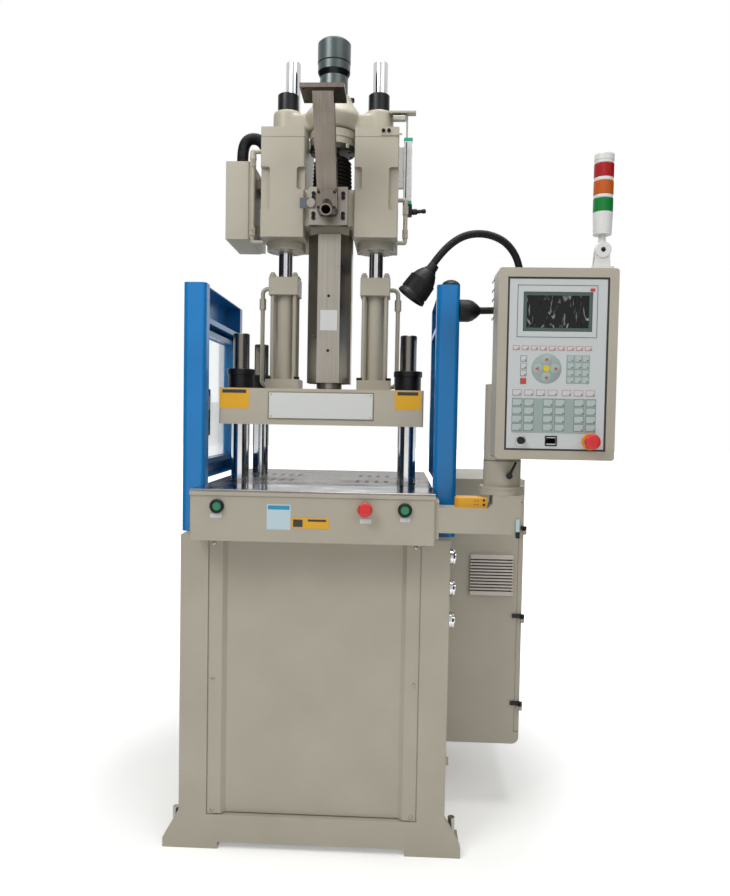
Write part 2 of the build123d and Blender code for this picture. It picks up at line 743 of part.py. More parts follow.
# Injection beam: a casting with a lobe over each cylinder and a flared hub under the motor
web_width = 104
with BuildPart() as injection_beam:
    with BuildSketch(Plane.XY.offset(beam_bottom)):
        for side, sign in sides:
            with BuildSketch(mode=Mode.PRIVATE) as lobe:
                with Locations((sign * column_x, 0), (sign * column_x, guide_y)):
                    Circle(beam_lobe)
                make_hull()
            add(lobe.sketch)
        with Locations((0, guide_y / 2 - 14)):
            Rectangle(2 * column_x, web_width)
        Circle(hub_skirt)
        with Locations((-column_x, 0), (column_x, 0)):
            Circle(injection_rod_radius + seat_gap, mode=Mode.SUBTRACT)
        with Locations((-column_x, guide_y), (column_x, guide_y)):
            Circle(guide_radius + slide_gap, mode=Mode.SUBTRACT)
    extrude(amount=beam_top - beam_bottom)
    with BuildSketch(Plane.XZ):
        with BuildLine():
            Polyline((0, beam_bottom + 20), (hub_skirt, beam_bottom + 20), (hub_skirt, beam_top))
            Spline(
                (hub_skirt, beam_top),
                (hub_radius, hub_top - 8),
                tangents=((-1, 0), (-0.15, 1)),
            )
            Polyline((hub_radius, hub_top - 8), (hub_radius, hub_top), (0, hub_top), (0, beam_bottom + 20))
        make_face()
    revolve(axis=Axis.Z)
    with BuildSketch(Plane.XY.offset(beam_bottom)):
        Circle(screw_shank_radius + 4)
    extrude(amount=hub_top - beam_bottom, mode=Mode.SUBTRACT)
injection_beam.part.label = "injection_beam"
export_step(injection_beam.part, "parts/injection_beam.step")

# Bearing housing: hangs under the beam between the blocks and takes the thrust of the screw
with BuildPart() as bearing_housing:
    with BuildSketch(Plane.XY.offset(beam_bottom - bearing_height)):
        Circle(bearing_radius - 2)
        Circle(screw_shank_radius + 4, mode=Mode.SUBTRACT)
        with PolarLocations(bearing_radius - 13, 8, start_angle=22.5):
            Circle(6, mode=Mode.SUBTRACT)
    extrude(amount=bearing_height - 24)
    with BuildSketch(Plane.XY.offset(beam_bottom - 24)):
        Circle(bearing_radius)
        Circle(screw_shank_radius + 4, mode=Mode.SUBTRACT)
    extrude(amount=24)
    fillet(bearing_housing.faces().sort_by(Axis.Z)[0].outer_wire().edges(), radius=3)
bearing_housing.part.label = "bearing_housing"
export_step(bearing_housing.part, "parts/bearing_housing.step")

# Screw motor: a turned neck bolted to the hub and the drum of the hydraulic motor above it
motor_bottom = hub_top + motor_neck_height
groove_height = 44
with BuildPart() as screw_motor:
    with BuildSketch(Plane.XZ):
        with BuildLine():
            Polyline(
                (screw_shank_radius + 4, hub_top),
                (motor_neck_radius, hub_top),
                (motor_neck_radius, motor_bottom),
                (motor_radius - 1, motor_bottom + 16),
                (motor_radius - 1, motor_bottom + groove_height - 2),
                (motor_radius - 3, motor_bottom + groove_height),
                (motor_radius, motor_bottom + groove_height + 2),
                (motor_radius, motor_bottom + motor_height - 8),
                (motor_radius - 8, motor_bottom + motor_height),
                (0, motor_bottom + motor_height),
                (0, motor_bottom + 4),
                (screw_shank_radius + 4, motor_bottom + 4),
                close=True,
            )
        make_face()
    revolve(axis=Axis.Z)
screw_motor.part.label = "screw_motor"
export_step(screw_motor.part, "parts/screw_motor.step")

# Throat: the block between the cylinders where pellets reach the screw, stepped down to the barrel
inlet_height = 1912
inlet_bore = 15
with BuildPart() as throat_block:
    with BuildSketch(Plane.XY.offset(throat_bottom)):
        Rectangle(2 * block_inner, 2 * throat_depth)
    extrude(amount=throat_top - throat_bottom)
    with BuildSketch(Plane.XY.offset(heater_cover_top)):
        Rectangle(124, 124)
    extrude(amount=throat_bottom - heater_cover_top)
    with BuildSketch(Plane.XY.offset(heater_cover_top)):
        Circle(screw_shank_radius + slide_gap)
    extrude(amount=throat_top - heater_cover_top, mode=Mode.SUBTRACT)
    with BuildSketch(Plane.XZ.offset(throat_depth)):
        with Locations((0, inlet_height)):
            Circle(inlet_bore)
    extrude(amount=-throat_depth, mode=Mode.SUBTRACT)
throat_block.part.label = "throat_block"
export_step(throat_block.part, "parts/throat_block.step")

# Feed plate: the ground square plate in front of the throat, held in four slots
feed_plate_size = 120
feed_plate_thickness = 30
feed_plate_bottom = 1848
with BuildPart() as feed_plate:
    with BuildSketch(Plane.XZ.offset(throat_depth)):
        with Locations((0, feed_plate_bottom + feed_plate_size / 2 - 1)):
            Rectangle(feed_plate_size, feed_plate_size - 3)
            with GridLocations(92, 62, 2, 2):
                SlotOverall(20, 11, rotation=90, mode=Mode.SUBTRACT)
        with Locations((0, inlet_height)):
            Circle(inlet_bore, mode=Mode.SUBTRACT)
    extrude(amount=feed_plate_thickness)
feed_plate.part.label = "feed_plate"
export_step(feed_plate.part, "parts/feed_plate.step")

# Feed chute: a square tube that leans forward from the inlet block to the open plate for the hopper.
# The block below it has a clean-out spout that points down towards the operator.
inlet_front = throat_depth + feed_plate_thickness
inlet_depth = 62
inlet_size = 64
inlet_top = inlet_height - 4 + inlet_size / 2
spout_radius = 19
spout_bore = 14
chute_size = 60
chute_depth = 50
chute_wall = 3
chute_foot_y = -inlet_front - inlet_depth / 2
chute_head_y = -320
chute_head_z = 2165
chute_slope = (chute_foot_y - chute_head_y) / (chute_head_z - inlet_top)
chute_lead = 60
hopper_plate_width = 125
hopper_plate_depth = 110
hopper_plate_thickness = 12
spout_plane = Plane((0, -inlet_front - 30, inlet_height), x_dir=(1, 0, 0), z_dir=(0, -1, -0.75))
chute_plane = Plane(
    (0, chute_foot_y + chute_lead * chute_slope, inlet_top - chute_lead),
    x_dir=(1, 0, 0),
    z_dir=(0, -chute_slope, 1),
)
with BuildPart() as feed_chute:
    with BuildSketch(chute_plane):
        Rectangle(chute_size, chute_depth)
    extrude(amount=480)
    split(bisect_by=Plane.XY.offset(inlet_top), keep=Keep.TOP)
    split(bisect_by=Plane.XY.offset(chute_head_z), keep=Keep.BOTTOM)
    with BuildSketch(Plane.XZ.offset(inlet_front)):
        with Locations((0, inlet_height - 4)):
            RectangleRounded(inlet_size, inlet_size, 14)
    extrude(amount=inlet_depth)
    with BuildSketch(spout_plane):
        Circle(spout_radius)
    extrude(amount=62)
    with BuildSketch(Plane.XY.offset(chute_head_z)):
        with Locations((0, chute_head_y)):
            Rectangle(hopper_plate_width, hopper_plate_depth)
            with GridLocations(hopper_plate_width - 22, hopper_plate_depth - 22, 2, 2):
                Circle(4.5, mode=Mode.SUBTRACT)
    extrude(amount=hopper_plate_thickness)
    with BuildSketch(chute_plane):
        Rectangle(chute_size - 2 * chute_wall, chute_depth - 2 * chute_wall)
    extrude(amount=480, mode=Mode.SUBTRACT)
    with BuildSketch(spout_plane):
        Circle(spout_bore)
    extrude(amount=70, mode=Mode.SUBTRACT)
    with BuildSketch(Plane.XZ.offset(inlet_front)):
        with Locations((0, inlet_height)):
            Circle(inlet_bore)
    extrude(amount=inlet_depth / 2, mode=Mode.SUBTRACT)
feed_chute.part.label = "feed_chute"
export_step(feed_chute.part, "parts/feed_chute.step")

# Barrel with its nozzle, and the screw that turns and slides inside it
nozzle_flange = 36
with BuildPart() as barrel:
    with BuildSketch(Plane.XY.offset(barrel_bottom)):
        Circle(barrel_radius)
    extrude(amount=heater_cover_top - barrel_bottom)
    with BuildSketch(Plane.XY.offset(barrel_bottom)):
        Circle(barrel_bore)
    extrude(amount=heater_cover_top - barrel_bottom, mode=Mode.SUBTRACT)
    with BuildSketch(Plane.XZ):
        with BuildLine():
            Polyline(
                (2, nozzle_tip),
                (6, nozzle_tip),
                (16, nozzle_tip + 12),
                (18, nozzle_tip + 50),
                (nozzle_flange, nozzle_tip + 58),
                (nozzle_flange, barrel_bottom),
                (12, barrel_bottom),
                (2, barrel_bottom - 20),
                close=True,
            )
        make_face()
    revolve(axis=Axis.Z)
barrel.part.label = "barrel"
export_step(barrel.part, "parts/barrel.step")

flight_pitch = 32
flight_turns = 12
screw_bottom = barrel_bottom + 6
flight_bottom = screw_bottom + 30
shank_bottom = heater_cover_top + 2
with BuildPart() as screw:
    with BuildSketch(Plane.XZ):
        with BuildLine():
            Polyline(
                (0, screw_bottom),
                (screw_root, screw_bottom + 22),
                (screw_root, shank_bottom),
                (screw_shank_radius, shank_bottom),
                (screw_shank_radius, hub_top + motor_neck_height - 1),
                (0, hub_top + motor_neck_height - 1),
                close=True,
            )
        make_face()
    revolve(axis=Axis.Z)
    with BuildLine():
        flight_line = Helix(
            pitch=flight_pitch,
            height=flight_pitch * flight_turns,
            radius=screw_root - 1,
            center=(0, 0, flight_bottom),
        )
    with BuildSketch(Plane((screw_root - 1, 0, flight_bottom), x_dir=(1, 0, 0), z_dir=(0, 1, 0))):
        with Locations(((screw_radius - screw_root + 1) / 2, 0)):
            Rectangle(screw_radius - screw_root + 1, 4)
    sweep(path=flight_line, is_frenet=True)
screw.part.label = "screw"
export_step(screw.part, "parts/screw.step")

# Heater cover: a brushed steel sheet folded into a square tube with wide chamfers
with BuildPart() as heater_cover:
    with BuildSketch(Plane.XY.offset(heater_cover_bottom)):
        with BuildSketch(mode=Mode.PRIVATE) as cover_outline:
            Rectangle(heater_cover_width, heater_cover_width)
            chamfer(cover_outline.vertices(), length=heater_cover_corner)
        add(cover_outline.sketch)
        offset(cover_outline.sketch, amount=-heater_cover_sheet, mode=Mode.SUBTRACT)
    extrude(amount=heater_cover_top - heater_cover_bottom)
    with BuildSketch(Plane.XY.offset(heater_cover_top - heater_cover_sheet)) as cover_lid:
        Rectangle(heater_cover_width, heater_cover_width)
        chamfer(cover_lid.vertices(), length=heater_cover_corner)
        Circle(barrel_radius + slide_gap, mode=Mode.SUBTRACT)
    extrude(amount=heater_cover_sheet)
heater_cover.part.label = "heater_cover"
export_step(heater_cover.part, "parts/heater_cover.step")

# Junction box on the left of the unit, with the back plate and the two arms that carry it
box_left = -338
box_right = -262
box_front = -60
box_back = 170
box_bottom = 1819
box_top = 2066
bracket_right = -246
box_middle = (box_front + box_back) / 2
arm_heights = [1860, 2010]
with BuildPart() as junction_box:
    with BuildSketch(Plane.XY.offset(box_bottom)):
        with Locations(((box_left + box_right) / 2, box_middle)):
            RectangleRounded(box_right - box_left, box_back - box_front, 4)
    extrude(amount=box_top - box_bottom)
    with BuildSketch(Plane.XY.offset(box_bottom + sheet)):
        with Locations(((box_left + box_right) / 2, box_middle)):
            Rectangle(box_right - box_left - 2 * sheet, box_back - box_front - 2 * sheet)
    extrude(amount=box_top - box_bottom - 2 * sheet, mode=Mode.SUBTRACT)
    with BuildSketch(Plane.YZ.offset(box_right)):
        with Locations((box_middle, (box_bottom + box_top) / 2 - 6)):
            RectangleRounded(box_back - box_front - 4, box_top - box_bottom - 14, 6)
    extrude(amount=bracket_right - box_right)
    with BuildSketch(Plane.YZ.offset(bracket_right)):
        for arm_height in arm_heights:
            with Locations((box_middle, arm_height)):
                Rectangle(120, 30)
    extrude(amount=-block_outer - bracket_right)
junction_box.part.label = "junction_box"
export_step(junction_box.part, "parts/junction_box.step")

conduit_radius = 16
conduit_x = -298
conduit_y = 40
conduit_entry = 2112
with BuildPart() as conduit:
    with BuildLine():
        FilletPolyline(
            (conduit_x, conduit_y, box_top),
            (conduit_x, conduit_y, conduit_entry),
            (-block_outer, conduit_y, conduit_entry),
            radius=44,
        )
    with BuildSketch(Plane((conduit_x, conduit_y, box_top), z_dir=(0, 0, 1))):
        Circle(conduit_radius)
    sweep()
conduit.part.label = "conduit"
export_step(conduit.part, "parts/conduit.step")

# Hydraulic pipes beside the blocks: an elbow at the right and two unions at the left
with BuildPart() as block_pipes:
    for sign, low, high in ((1, 1840, 1950), (-1, 1846, 1925)):
        pipe_x = sign * (block_outer + 24)
        with BuildLine():
            FilletPolyline(
                (sign * block_outer, -70, low),
                (pipe_x - (sign - 1) / 2 * 8, -70, low),
                (pipe_x - (sign - 1) / 2 * 8, -70, high),
                (sign * block_outer, -70, high),
                radius=10,
            )
        with BuildSketch(Plane((sign * block_outer, -70, low), z_dir=(sign, 0, 0))):
            Circle(8)
        sweep()
        with BuildSketch(Plane.XY.offset(low + 24)):
            with Locations((pipe_x - (sign - 1) / 2 * 8, -70)):
                RegularPolygon(12, 6)
        extrude(amount=26)
block_pipes.part.label = "block_pipes"
export_step(block_pipes.part, "parts/block_pipes.step")

# Injection stroke sensor: a body on the right block and a rod that hangs from the beam
sensor_x = 240
sensor_y = -30
sensor_half = 9
sensor_bottom = 1975
sensor_top = 2140
sensor_rod_radius = 3
with BuildPart() as stroke_sensor:
    with BuildSketch(Plane.XY.offset(sensor_bottom)):
        with Locations((sensor_x, sensor_y)):
            Rectangle(2 * sensor_half, 2 * sensor_half)
            Circle(sensor_rod_radius + slide_gap, mode=Mode.SUBTRACT)
    extrude(amount=sensor_top - sensor_bottom)
    with BuildSketch(Plane.XY.offset(sensor_bottom + 40)):
        with Locations(((sensor_x - sensor_half + block_outer) / 2, sensor_y)):
            Rectangle(sensor_x - sensor_half - block_outer, 12)
    extrude(amount=90)
stroke_sensor.part.label = "stroke_sensor"
export_step(stroke_sensor.part, "parts/stroke_sensor.step")

sensor_arm_z = 2226
with BuildPart() as sensor_arm:
    with BuildSketch(Plane.XY.offset(sensor_arm_z)):
        with Locations(((column_x + beam_lobe + sensor_x + 24) / 2 - 3, sensor_y)):
            Rectangle(sensor_x + 24 - column_x - beam_lobe + 14, 30)
    extrude(amount=6)
    with BuildSketch(Plane.XY.offset(sensor_bottom + 60)):
        with Locations((sensor_x, sensor_y)):
            Circle(sensor_rod_radius)
    extrude(amount=sensor_arm_z - sensor_bottom - 60)
    with BuildSketch(Plane.XY.offset(beam_bottom)):
        with Locations((column_x, 0)):
            Circle(beam_lobe)
    extrude(amount=beam_top - beam_bottom, mode=Mode.SUBTRACT)
sensor_arm.part.label = "sensor_arm"
export_step(sensor_arm.part, "parts/sensor_arm.step")

# Side guards: a rounded front post and a sheet tray with a rear upright, rails and a framed window
post_width = guard_outer - guard_inner
post_corner = 14
tray_wall = 3
tray_depth = 56
frame_depth = 36
rail_height = 1536
rail_width = 16
rear_upright = 34
frame_bar = 16
window_sheet = 5
window_x = guard_outer - 18
with BuildPart() as guard_frames:
    for side, sign in sides:
        post_middle = (sign * (guard_inner + guard_outer) / 2, (post_front + post_back) / 2)
        tray_middle = ((post_back + guard_back) / 2, (cabinet_top + guard_top) / 2)
        window_middle = ((window_front + window_back) / 2, (window_bottom + window_top) / 2)
        with BuildSketch(Plane.XY.offset(base_top)):
            with Locations(post_middle):
                RectangleRounded(post_width, post_depth, post_corner)
        extrude(amount=guard_top - base_top)
        with BuildSketch(Plane.YZ.offset(sign * guard_outer)):
            with Locations(tray_middle):
                Rectangle(guard_back - post_back, guard_top - cabinet_top)
        extrude(amount=-sign * tray_depth)
        with BuildSketch(Plane.YZ.offset(sign * (guard_outer - tray_wall))):
            with Locations(tray_middle):
                Rectangle(guard_back - post_back - 2 * tray_wall, guard_top - cabinet_top - 2 * tray_wall)
        extrude(amount=-sign * tray_depth, mode=Mode.SUBTRACT)
        with BuildSketch(Plane.YZ.offset(sign * guard_outer)):
            with Locations(window_middle):
                Rectangle(
                    window_back - window_front + 2 * frame_bar,
                    window_top - window_bottom + 2 * frame_bar,
                )
        extrude(amount=-sign * frame_depth)
        with BuildSketch(Plane.YZ.offset(sign * guard_outer)):
            with Locations(window_middle):
                Rectangle(window_back - window_front, window_top - window_bottom)
        extrude(amount=-sign * tray_depth, mode=Mode.SUBTRACT)
        with BuildSketch(Plane.YZ.offset(sign * (guard_outer - tray_wall))):
            with Locations(((post_back + guard_back) / 2, rail_height)):
                Rectangle(guard_back - post_back - 2 * tray_wall, rail_width)
            with Locations((guard_back - tray_wall - rear_upright / 2, (cabinet_top + guard_top) / 2)):
                Rectangle(rear_upright, guard_top - cabinet_top - 2 * tray_wall)
        extrude(amount=-sign * (tray_depth - tray_wall))
guard_frames.part.label = "guard_frames"
export_step(guard_frames.part, "parts/guard_frames.step")

with BuildPart() as guard_windows:
    for side, sign in sides:
        with BuildSketch(Plane.YZ.offset(sign * window_x)):
            with Locations(((window_front + window_back) / 2, (window_bottom + window_top) / 2)):
                Rectangle(window_back - window_front, window_top - window_bottom)
        extrude(amount=sign * window_sheet)
guard_windows.part.label = "guard_windows"
export_step(guard_windows.part, "parts/guard_windows.step")

# Control cabinet: a sheet case hung on the right side of the base, rebated on its right for the door
cabinet_wall = 3
door_gap = 2
door_left = cabinet_right - door_thickness
door_back = cabinet_back - 20
hinge_heights = [337, 620, 903]
hinge_height = 26
hinge_radius = 6
hinge_x = cabinet_right + 2
hinge_y = cabinet_front - hinge_radius - 1
opening_margin = 30
with BuildPart() as control_cabinet:
    with BuildSketch(Plane.XZ.offset(-cabinet_front)) as cabinet_outline:
        with Locations(((cabinet_left + cabinet_right) / 2, (cabinet_bottom + cabinet_top) / 2)):
            Rectangle(cabinet_right - cabinet_left, cabinet_top - cabinet_bottom)
        fillet(cabinet_outline.vertices().group_by(Axis.X)[-1].sort_by(Axis.Z)[0], radius=22)
    extrude(amount=cabinet_front - cabinet_back)
    rebate_front = cabinet_front - 5
    rebate_back = door_back + door_gap
    rebate_left = door_left - 1
    rebate_right = cabinet_right + 2
    with BuildSketch(Plane.XY.offset(door_bottom - door_gap)):
        with Locations(((rebate_left + rebate_right) / 2, (rebate_front + rebate_back) / 2)):
            Rectangle(rebate_right - rebate_left, rebate_back - rebate_front)
    extrude(amount=door_top - door_bottom + 2 * door_gap, mode=Mode.SUBTRACT)
    with BuildSketch(Plane.XY.offset(cabinet_bottom + cabinet_wall)):
        with Locations(((cabinet_left + door_left - 1) / 2, (cabinet_front + cabinet_back) / 2)):
            Rectangle(
                door_left - 1 - cabinet_left - 2 * cabinet_wall,
                cabinet_back - cabinet_front - 2 * cabinet_wall,
            )
    extrude(amount=cabinet_top - cabinet_bottom - 2 * cabinet_wall, mode=Mode.SUBTRACT)
    with BuildSketch(Plane.YZ.offset(cabinet_right)):
        with Locations(((cabinet_front + door_back) / 2, (door_bottom + door_top) / 2)):
            Rectangle(
                door_back - cabinet_front - 2 * opening_margin,
                door_top - door_bottom - 2 * opening_margin,
            )
    extrude(amount=-60, mode=Mode.SUBTRACT)
    with BuildSketch(Plane.YZ.offset(cabinet_left)):
        with Locations((passage_y, passage_z)):
            Rectangle(passage_length, passage_height)
    extrude(amount=cabinet_wall, mode=Mode.SUBTRACT)
control_cabinet.part.label = "control_cabinet"
export_step(control_cabinet.part, "parts/control_cabinet.step")

# Control gear: the mounting plate inside the cabinet with the devices on it
gear_plate = 12
gear_plate_width = 400
gear_plate_height = 680
gear_middle = (cabinet_front + door_back) / 2
gear_centre = (door_bottom + door_top) / 2
with BuildPart() as control_gear:
    with BuildSketch(Plane.YZ.offset(cabinet_left + cabinet_wall)):
        with Locations((gear_middle, gear_centre)):
            Rectangle(gear_plate_width, gear_plate_height)
    extrude(amount=gear_plate)
    with BuildSketch(Plane.YZ.offset(cabinet_left + cabinet_wall + gear_plate)):
        with Locations((gear_middle, gear_centre + 230)):
            with GridLocations(170, 1, 2, 1):
                Rectangle(150, 170)
        with Locations((gear_middle, gear_centre - 220)):
            Rectangle(300, 150)
    extrude(amount=95)
    with BuildSketch(Plane.YZ.offset(cabinet_left + cabinet_wall + gear_plate)):
        with Locations((gear_middle, gear_centre)):
            with GridLocations(58, 110, 6, 2):
                Rectangle(46, 80)
    extrude(amount=70)
control_gear.part.label = "control_gear"
export_step(control_gear.part, "parts/control_gear.step")

# Cabinet door: a shallow tray with folded edges and the knuckles of its three hinges
with BuildPart() as cabinet_door:
    with BuildSketch(Plane.XY.offset(door_bottom)):
        with Locations(((door_left + cabinet_right) / 2, (cabinet_front + door_back) / 2)):
            Rectangle(door_thickness, door_back - cabinet_front)
    extrude(amount=door_top - door_bottom)
    with BuildSketch(Plane.YZ.offset(door_left)):
        with Locations(((cabinet_front + door_back) / 2, (door_bottom + door_top) / 2)):
            Rectangle(door_back - cabinet_front - 2 * sheet, door_top - door_bottom - 2 * sheet)
    extrude(amount=door_thickness - sheet, mode=Mode.SUBTRACT)
    for level in hinge_heights:
        with BuildSketch(Plane.XY.offset(level - hinge_height / 2)):
            with Locations((hinge_x, hinge_y)):
                Circle(hinge_radius)
            with Locations((hinge_x - 6, cabinet_front - hinge_radius / 2)):
                Rectangle(10, hinge_radius)
            with Locations((hinge_x, hinge_y)):
                Circle(3 + slide_gap, mode=Mode.SUBTRACT)
        extrude(amount=hinge_height / 2 - 1)
cabinet_door.part.label = "cabinet_door"
export_step(cabinet_door.part, "parts/cabinet_door.step")

# Cabinet fittings: the louvred vent cover and the fixed hinge halves with their pins
vent_left = cabinet_left + 85
vent_right = vent_left + 137
vent_bottom = cabinet_top - 370
vent_top = vent_bottom + 129
vent_slats = 11
vent_pitch = (vent_top - vent_bottom - 8) / vent_slats
with BuildPart() as cabinet_vent:
    with BuildSketch(Plane.XZ.offset(-cabinet_front)):
        with Locations(((vent_left + vent_right) / 2, (vent_bottom + vent_top) / 2)):
            Rectangle(vent_right - vent_left, vent_top - vent_bottom)
    extrude(amount=4)
    with BuildSketch(Plane.YZ.offset(vent_left + 3)):
        for slat in range(vent_slats):
            slat_bottom = vent_bottom + 5 + slat * vent_pitch
            with BuildLine():
                Polyline(
                    (cabinet_front - 3, slat_bottom),
                    (cabinet_front - 14, slat_bottom),
                    (cabinet_front - 14, slat_bottom + 3),
                    (cabinet_front - 3, slat_bottom + vent_pitch - 3),
                    close=True,
                )
            make_face()
    extrude(amount=vent_right - vent_left - 6)
cabinet_vent.part.label = "cabinet_vent"
export_step(cabinet_vent.part, "parts/cabinet_vent.step")

with BuildPart() as cabinet_hinges:
    for level in hinge_heights:
        with BuildSketch(Plane.XY.offset(level + 1)):
            with Locations((hinge_x, hinge_y)):
                Circle(hinge_radius)
            with Locations((hinge_x - 16, cabinet_front - 3)):
                Rectangle(32, 6)
        extrude(amount=hinge_height / 2 - 1)
        with BuildSketch(Plane.XY.offset(level - hinge_height / 2 + 1)):
            with Locations((hinge_x, hinge_y)):
                Circle(3)
        extrude(amount=hinge_height / 2)
cabinet_hinges.part.label = "cabinet_hinges"
export_step(cabinet_hinges.part, "parts/cabinet_hinges.step")

# Panel arm: a beam bolted to the right end of the apron, stepped up to a flange for the pillar
arm_front = pillar_y - 60
arm_back = pillar_y + 19
arm_bottom = table_top - 106
arm_top = table_top - 38
arm_plate = 10
riser_left = pillar_x - 30
arm_right = pillar_x + 45
arm_plate_height = 108
flange_height = 12
with BuildPart() as panel_arm:
    with BuildSketch(Plane.XZ.offset(-arm_back)):
        with BuildLine():
            Polyline(
                (guard_inner + arm_plate, arm_bottom),
                (arm_right, arm_bottom),
                (arm_right, pillar_bottom - flange_height),
                (riser_left, pillar_bottom - flange_height),
                (riser_left, arm_top + 12),
                (riser_left - 12, arm_top),
                (guard_inner + arm_plate, arm_top),
                close=True,
            )
        make_face()
    extrude(amount=arm_back - arm_front)
    with BuildSketch(Plane.YZ.offset(guard_inner)):
        with Locations(((arm_front + arm_back) / 2, (arm_bottom + arm_top) / 2)):
            RectangleRounded(arm_back - arm_front, arm_plate_height, 6)
    extrude(amount=arm_plate)
    with BuildSketch(Plane.XY.offset(pillar_bottom - flange_height)):
        with Locations((pillar_x, pillar_y)):
            Circle(62)
    extrude(amount=flange_height)
panel_arm.part.label = "panel_arm"
export_step(panel_arm.part, "parts/panel_arm.step")

# Safety switch: a yellow housing with a rounded nose, screwed on top of the arm
switch_length = 88
switch_width = 36
switch_height = 30
with BuildPart() as safety_switch:
    with BuildSketch(Plane.XY.offset(arm_top)) as switch_outline:
        with Locations((riser_left - 12 - switch_length / 2, pillar_y - 22)):
            Rectangle(switch_length, switch_width)
        fillet(switch_outline.vertices().group_by(Axis.X)[0], radius=switch_width / 2 - 2)
    extrude(amount=switch_height)
    chamfer(safety_switch.edges().group_by(Axis.Z)[-1], length=4)
safety_switch.part.label = "safety_switch"
export_step(safety_switch.part, "parts/safety_switch.step")

# Pillar: the fixed lower tube with its foot flange and the spigot that the swivel head turns on
spigot_radius = 38
lever_x = pillar_x + 12
lever_z = 1102
lever_stud = 4
lever_stand = 1
with BuildPart() as pillar:
    with BuildSketch(Plane.XY.offset(pillar_bottom)):
        with Locations((pillar_x, pillar_y)):
            Circle(60)
    extrude(amount=10)
    with BuildSketch(Plane.XY.offset(pillar_bottom + 10)):
        with Locations((pillar_x, pillar_y)):
            Circle(pillar_radius)
    extrude(amount=pillar_joint - pillar_bottom - 10)
    with BuildSketch(Plane.XY.offset(pillar_joint)):
        with Locations((pillar_x, pillar_y)):
            Circle(spigot_radius)
    extrude(amount=60)
    with BuildSketch(Plane.XZ.offset(pillar_radius + lever_stand - pillar_y)):
        with Locations((lever_x, lever_z)):
            Circle(lever_stud + slide_gap)
    extrude(amount=-12, mode=Mode.SUBTRACT)
pillar.part.label = "pillar"
export_step(pillar.part, "parts/pillar.step")

# Clamp lever: a thin steel lever with a ball end, screwed into the pillar to lock the swivel
with BuildPart() as clamp_lever:
    with BuildSketch(Plane.XZ.offset(pillar_radius + lever_stand - pillar_y)):
        with Locations((lever_x, lever_z)):
            Circle(8)
    extrude(amount=14)
    with BuildSketch(Plane.XZ.offset(pillar_radius + lever_stand - pillar_y)):
        with Locations((lever_x, lever_z)):
            Circle(lever_stud)
    extrude(amount=-10)
    with BuildSketch(
        Plane((lever_x, pillar_y - pillar_radius - 9, lever_z), x_dir=(1, 0, 0), z_dir=(0.42, -0.15, 1))
    ):
        Circle(3.5)
    extrude(amount=42)
clamp_lever.part.label = "clamp_lever"
export_step(clamp_lever.part, "parts/clamp_lever.step")

# Panel case: a box with rounded edges, open in front, on a turned head that swivels on the spigot
case_wall = 4
neck_width = 70
neck_height = 130
neck_rise = 97
face_setback = 2
face_thickness = 3
face_border = 23
face_ledge = 6
spigot_room = 64
head_bottom_z = pillar_joint + slide_gap
head_wall = pillar_radius - 1
with BuildPart() as panel_case:
    with BuildSketch(Plane.XZ.offset(-panel_back)):
        with Locations(((panel_left + panel_right) / 2, (panel_bottom + panel_top) / 2)):
            RectangleRounded(panel_width, panel_top - panel_bottom, 8)
    extrude(amount=panel_depth)
    with BuildSketch(Plane.XZ.offset(-panel_front)):
        with Locations(((panel_left + panel_right) / 2, (panel_bottom + panel_top) / 2)):
            Rectangle(panel_width - 2 * face_border, panel_top - panel_bottom - 2 * face_border)
    extrude(amount=-face_setback - face_thickness, mode=Mode.SUBTRACT)
    with BuildSketch(Plane.XZ.offset(-panel_front)):
        with Locations(((panel_left + panel_right) / 2, (panel_bottom + panel_top) / 2)):
            Rectangle(
                panel_width - 2 * face_border - 2 * face_ledge,
                panel_top - panel_bottom - 2 * face_border - 2 * face_ledge,
            )
    extrude(amount=case_wall - panel_depth, mode=Mode.SUBTRACT)
    with BuildSketch(Plane.XY.offset(head_bottom_z)):
        with Locations((pillar_x, pillar_y)):
            Circle(head_wall)
            Circle(spigot_radius + slide_gap, mode=Mode.SUBTRACT)
    extrude(amount=spigot_room)
    with BuildSketch(Plane.XY.offset(head_bottom_z + spigot_room)):
        with Locations((pillar_x, pillar_y)):
            Circle(head_wall)
    extrude(amount=pillar_top - head_bottom_z - spigot_room)
    with BuildSketch(Plane.XZ.offset(-panel_back)):
        with Locations((pillar_x, panel_bottom + neck_rise)):
            Rectangle(neck_width, neck_height)
    extrude(amount=-30)
    with BuildSketch(Plane.XY.offset(head_bottom_z)):
        with Locations((pillar_x, pillar_y)):
            Circle(spigot_radius + slide_gap)
    extrude(amount=spigot_room, mode=Mode.SUBTRACT)
panel_case.part.label = "panel_case"
export_step(panel_case.part, "parts/panel_case.step")

# Panel face: the plate that closes the case, with openings for the screen and the three controls
screen_left = panel_left + 63
screen_right = panel_right - 64
screen_bottom = panel_top - 160
screen_top = panel_top - 60
knob_x = panel_left + 64
port_x = panel_left + 141
panel_stop_x = panel_right - 61
control_row = panel_bottom + 48
face_gap = 0.5
face_width = panel_width - 2 * face_border - 2 * face_gap
face_height = panel_top - panel_bottom - 2 * face_border - 2 * face_gap
with BuildPart() as panel_face:
    with BuildSketch(Plane.XZ.offset(-panel_front - face_setback)):
        with Locations(((panel_left + panel_right) / 2, (panel_bottom + panel_top) / 2)):
            Rectangle(face_width, face_height)
        with Locations(((screen_left + screen_right) / 2, (screen_bottom + screen_top) / 2)):
            Rectangle(screen_right - screen_left, screen_top - screen_bottom, mode=Mode.SUBTRACT)
        with Locations((knob_x, control_row), (panel_stop_x, control_row)):
            Circle(6 + slide_gap, mode=Mode.SUBTRACT)
        with Locations((port_x, control_row)):
            Rectangle(24, 14, mode=Mode.SUBTRACT)
    extrude(amount=-face_thickness)
panel_face.part.label = "panel_face"
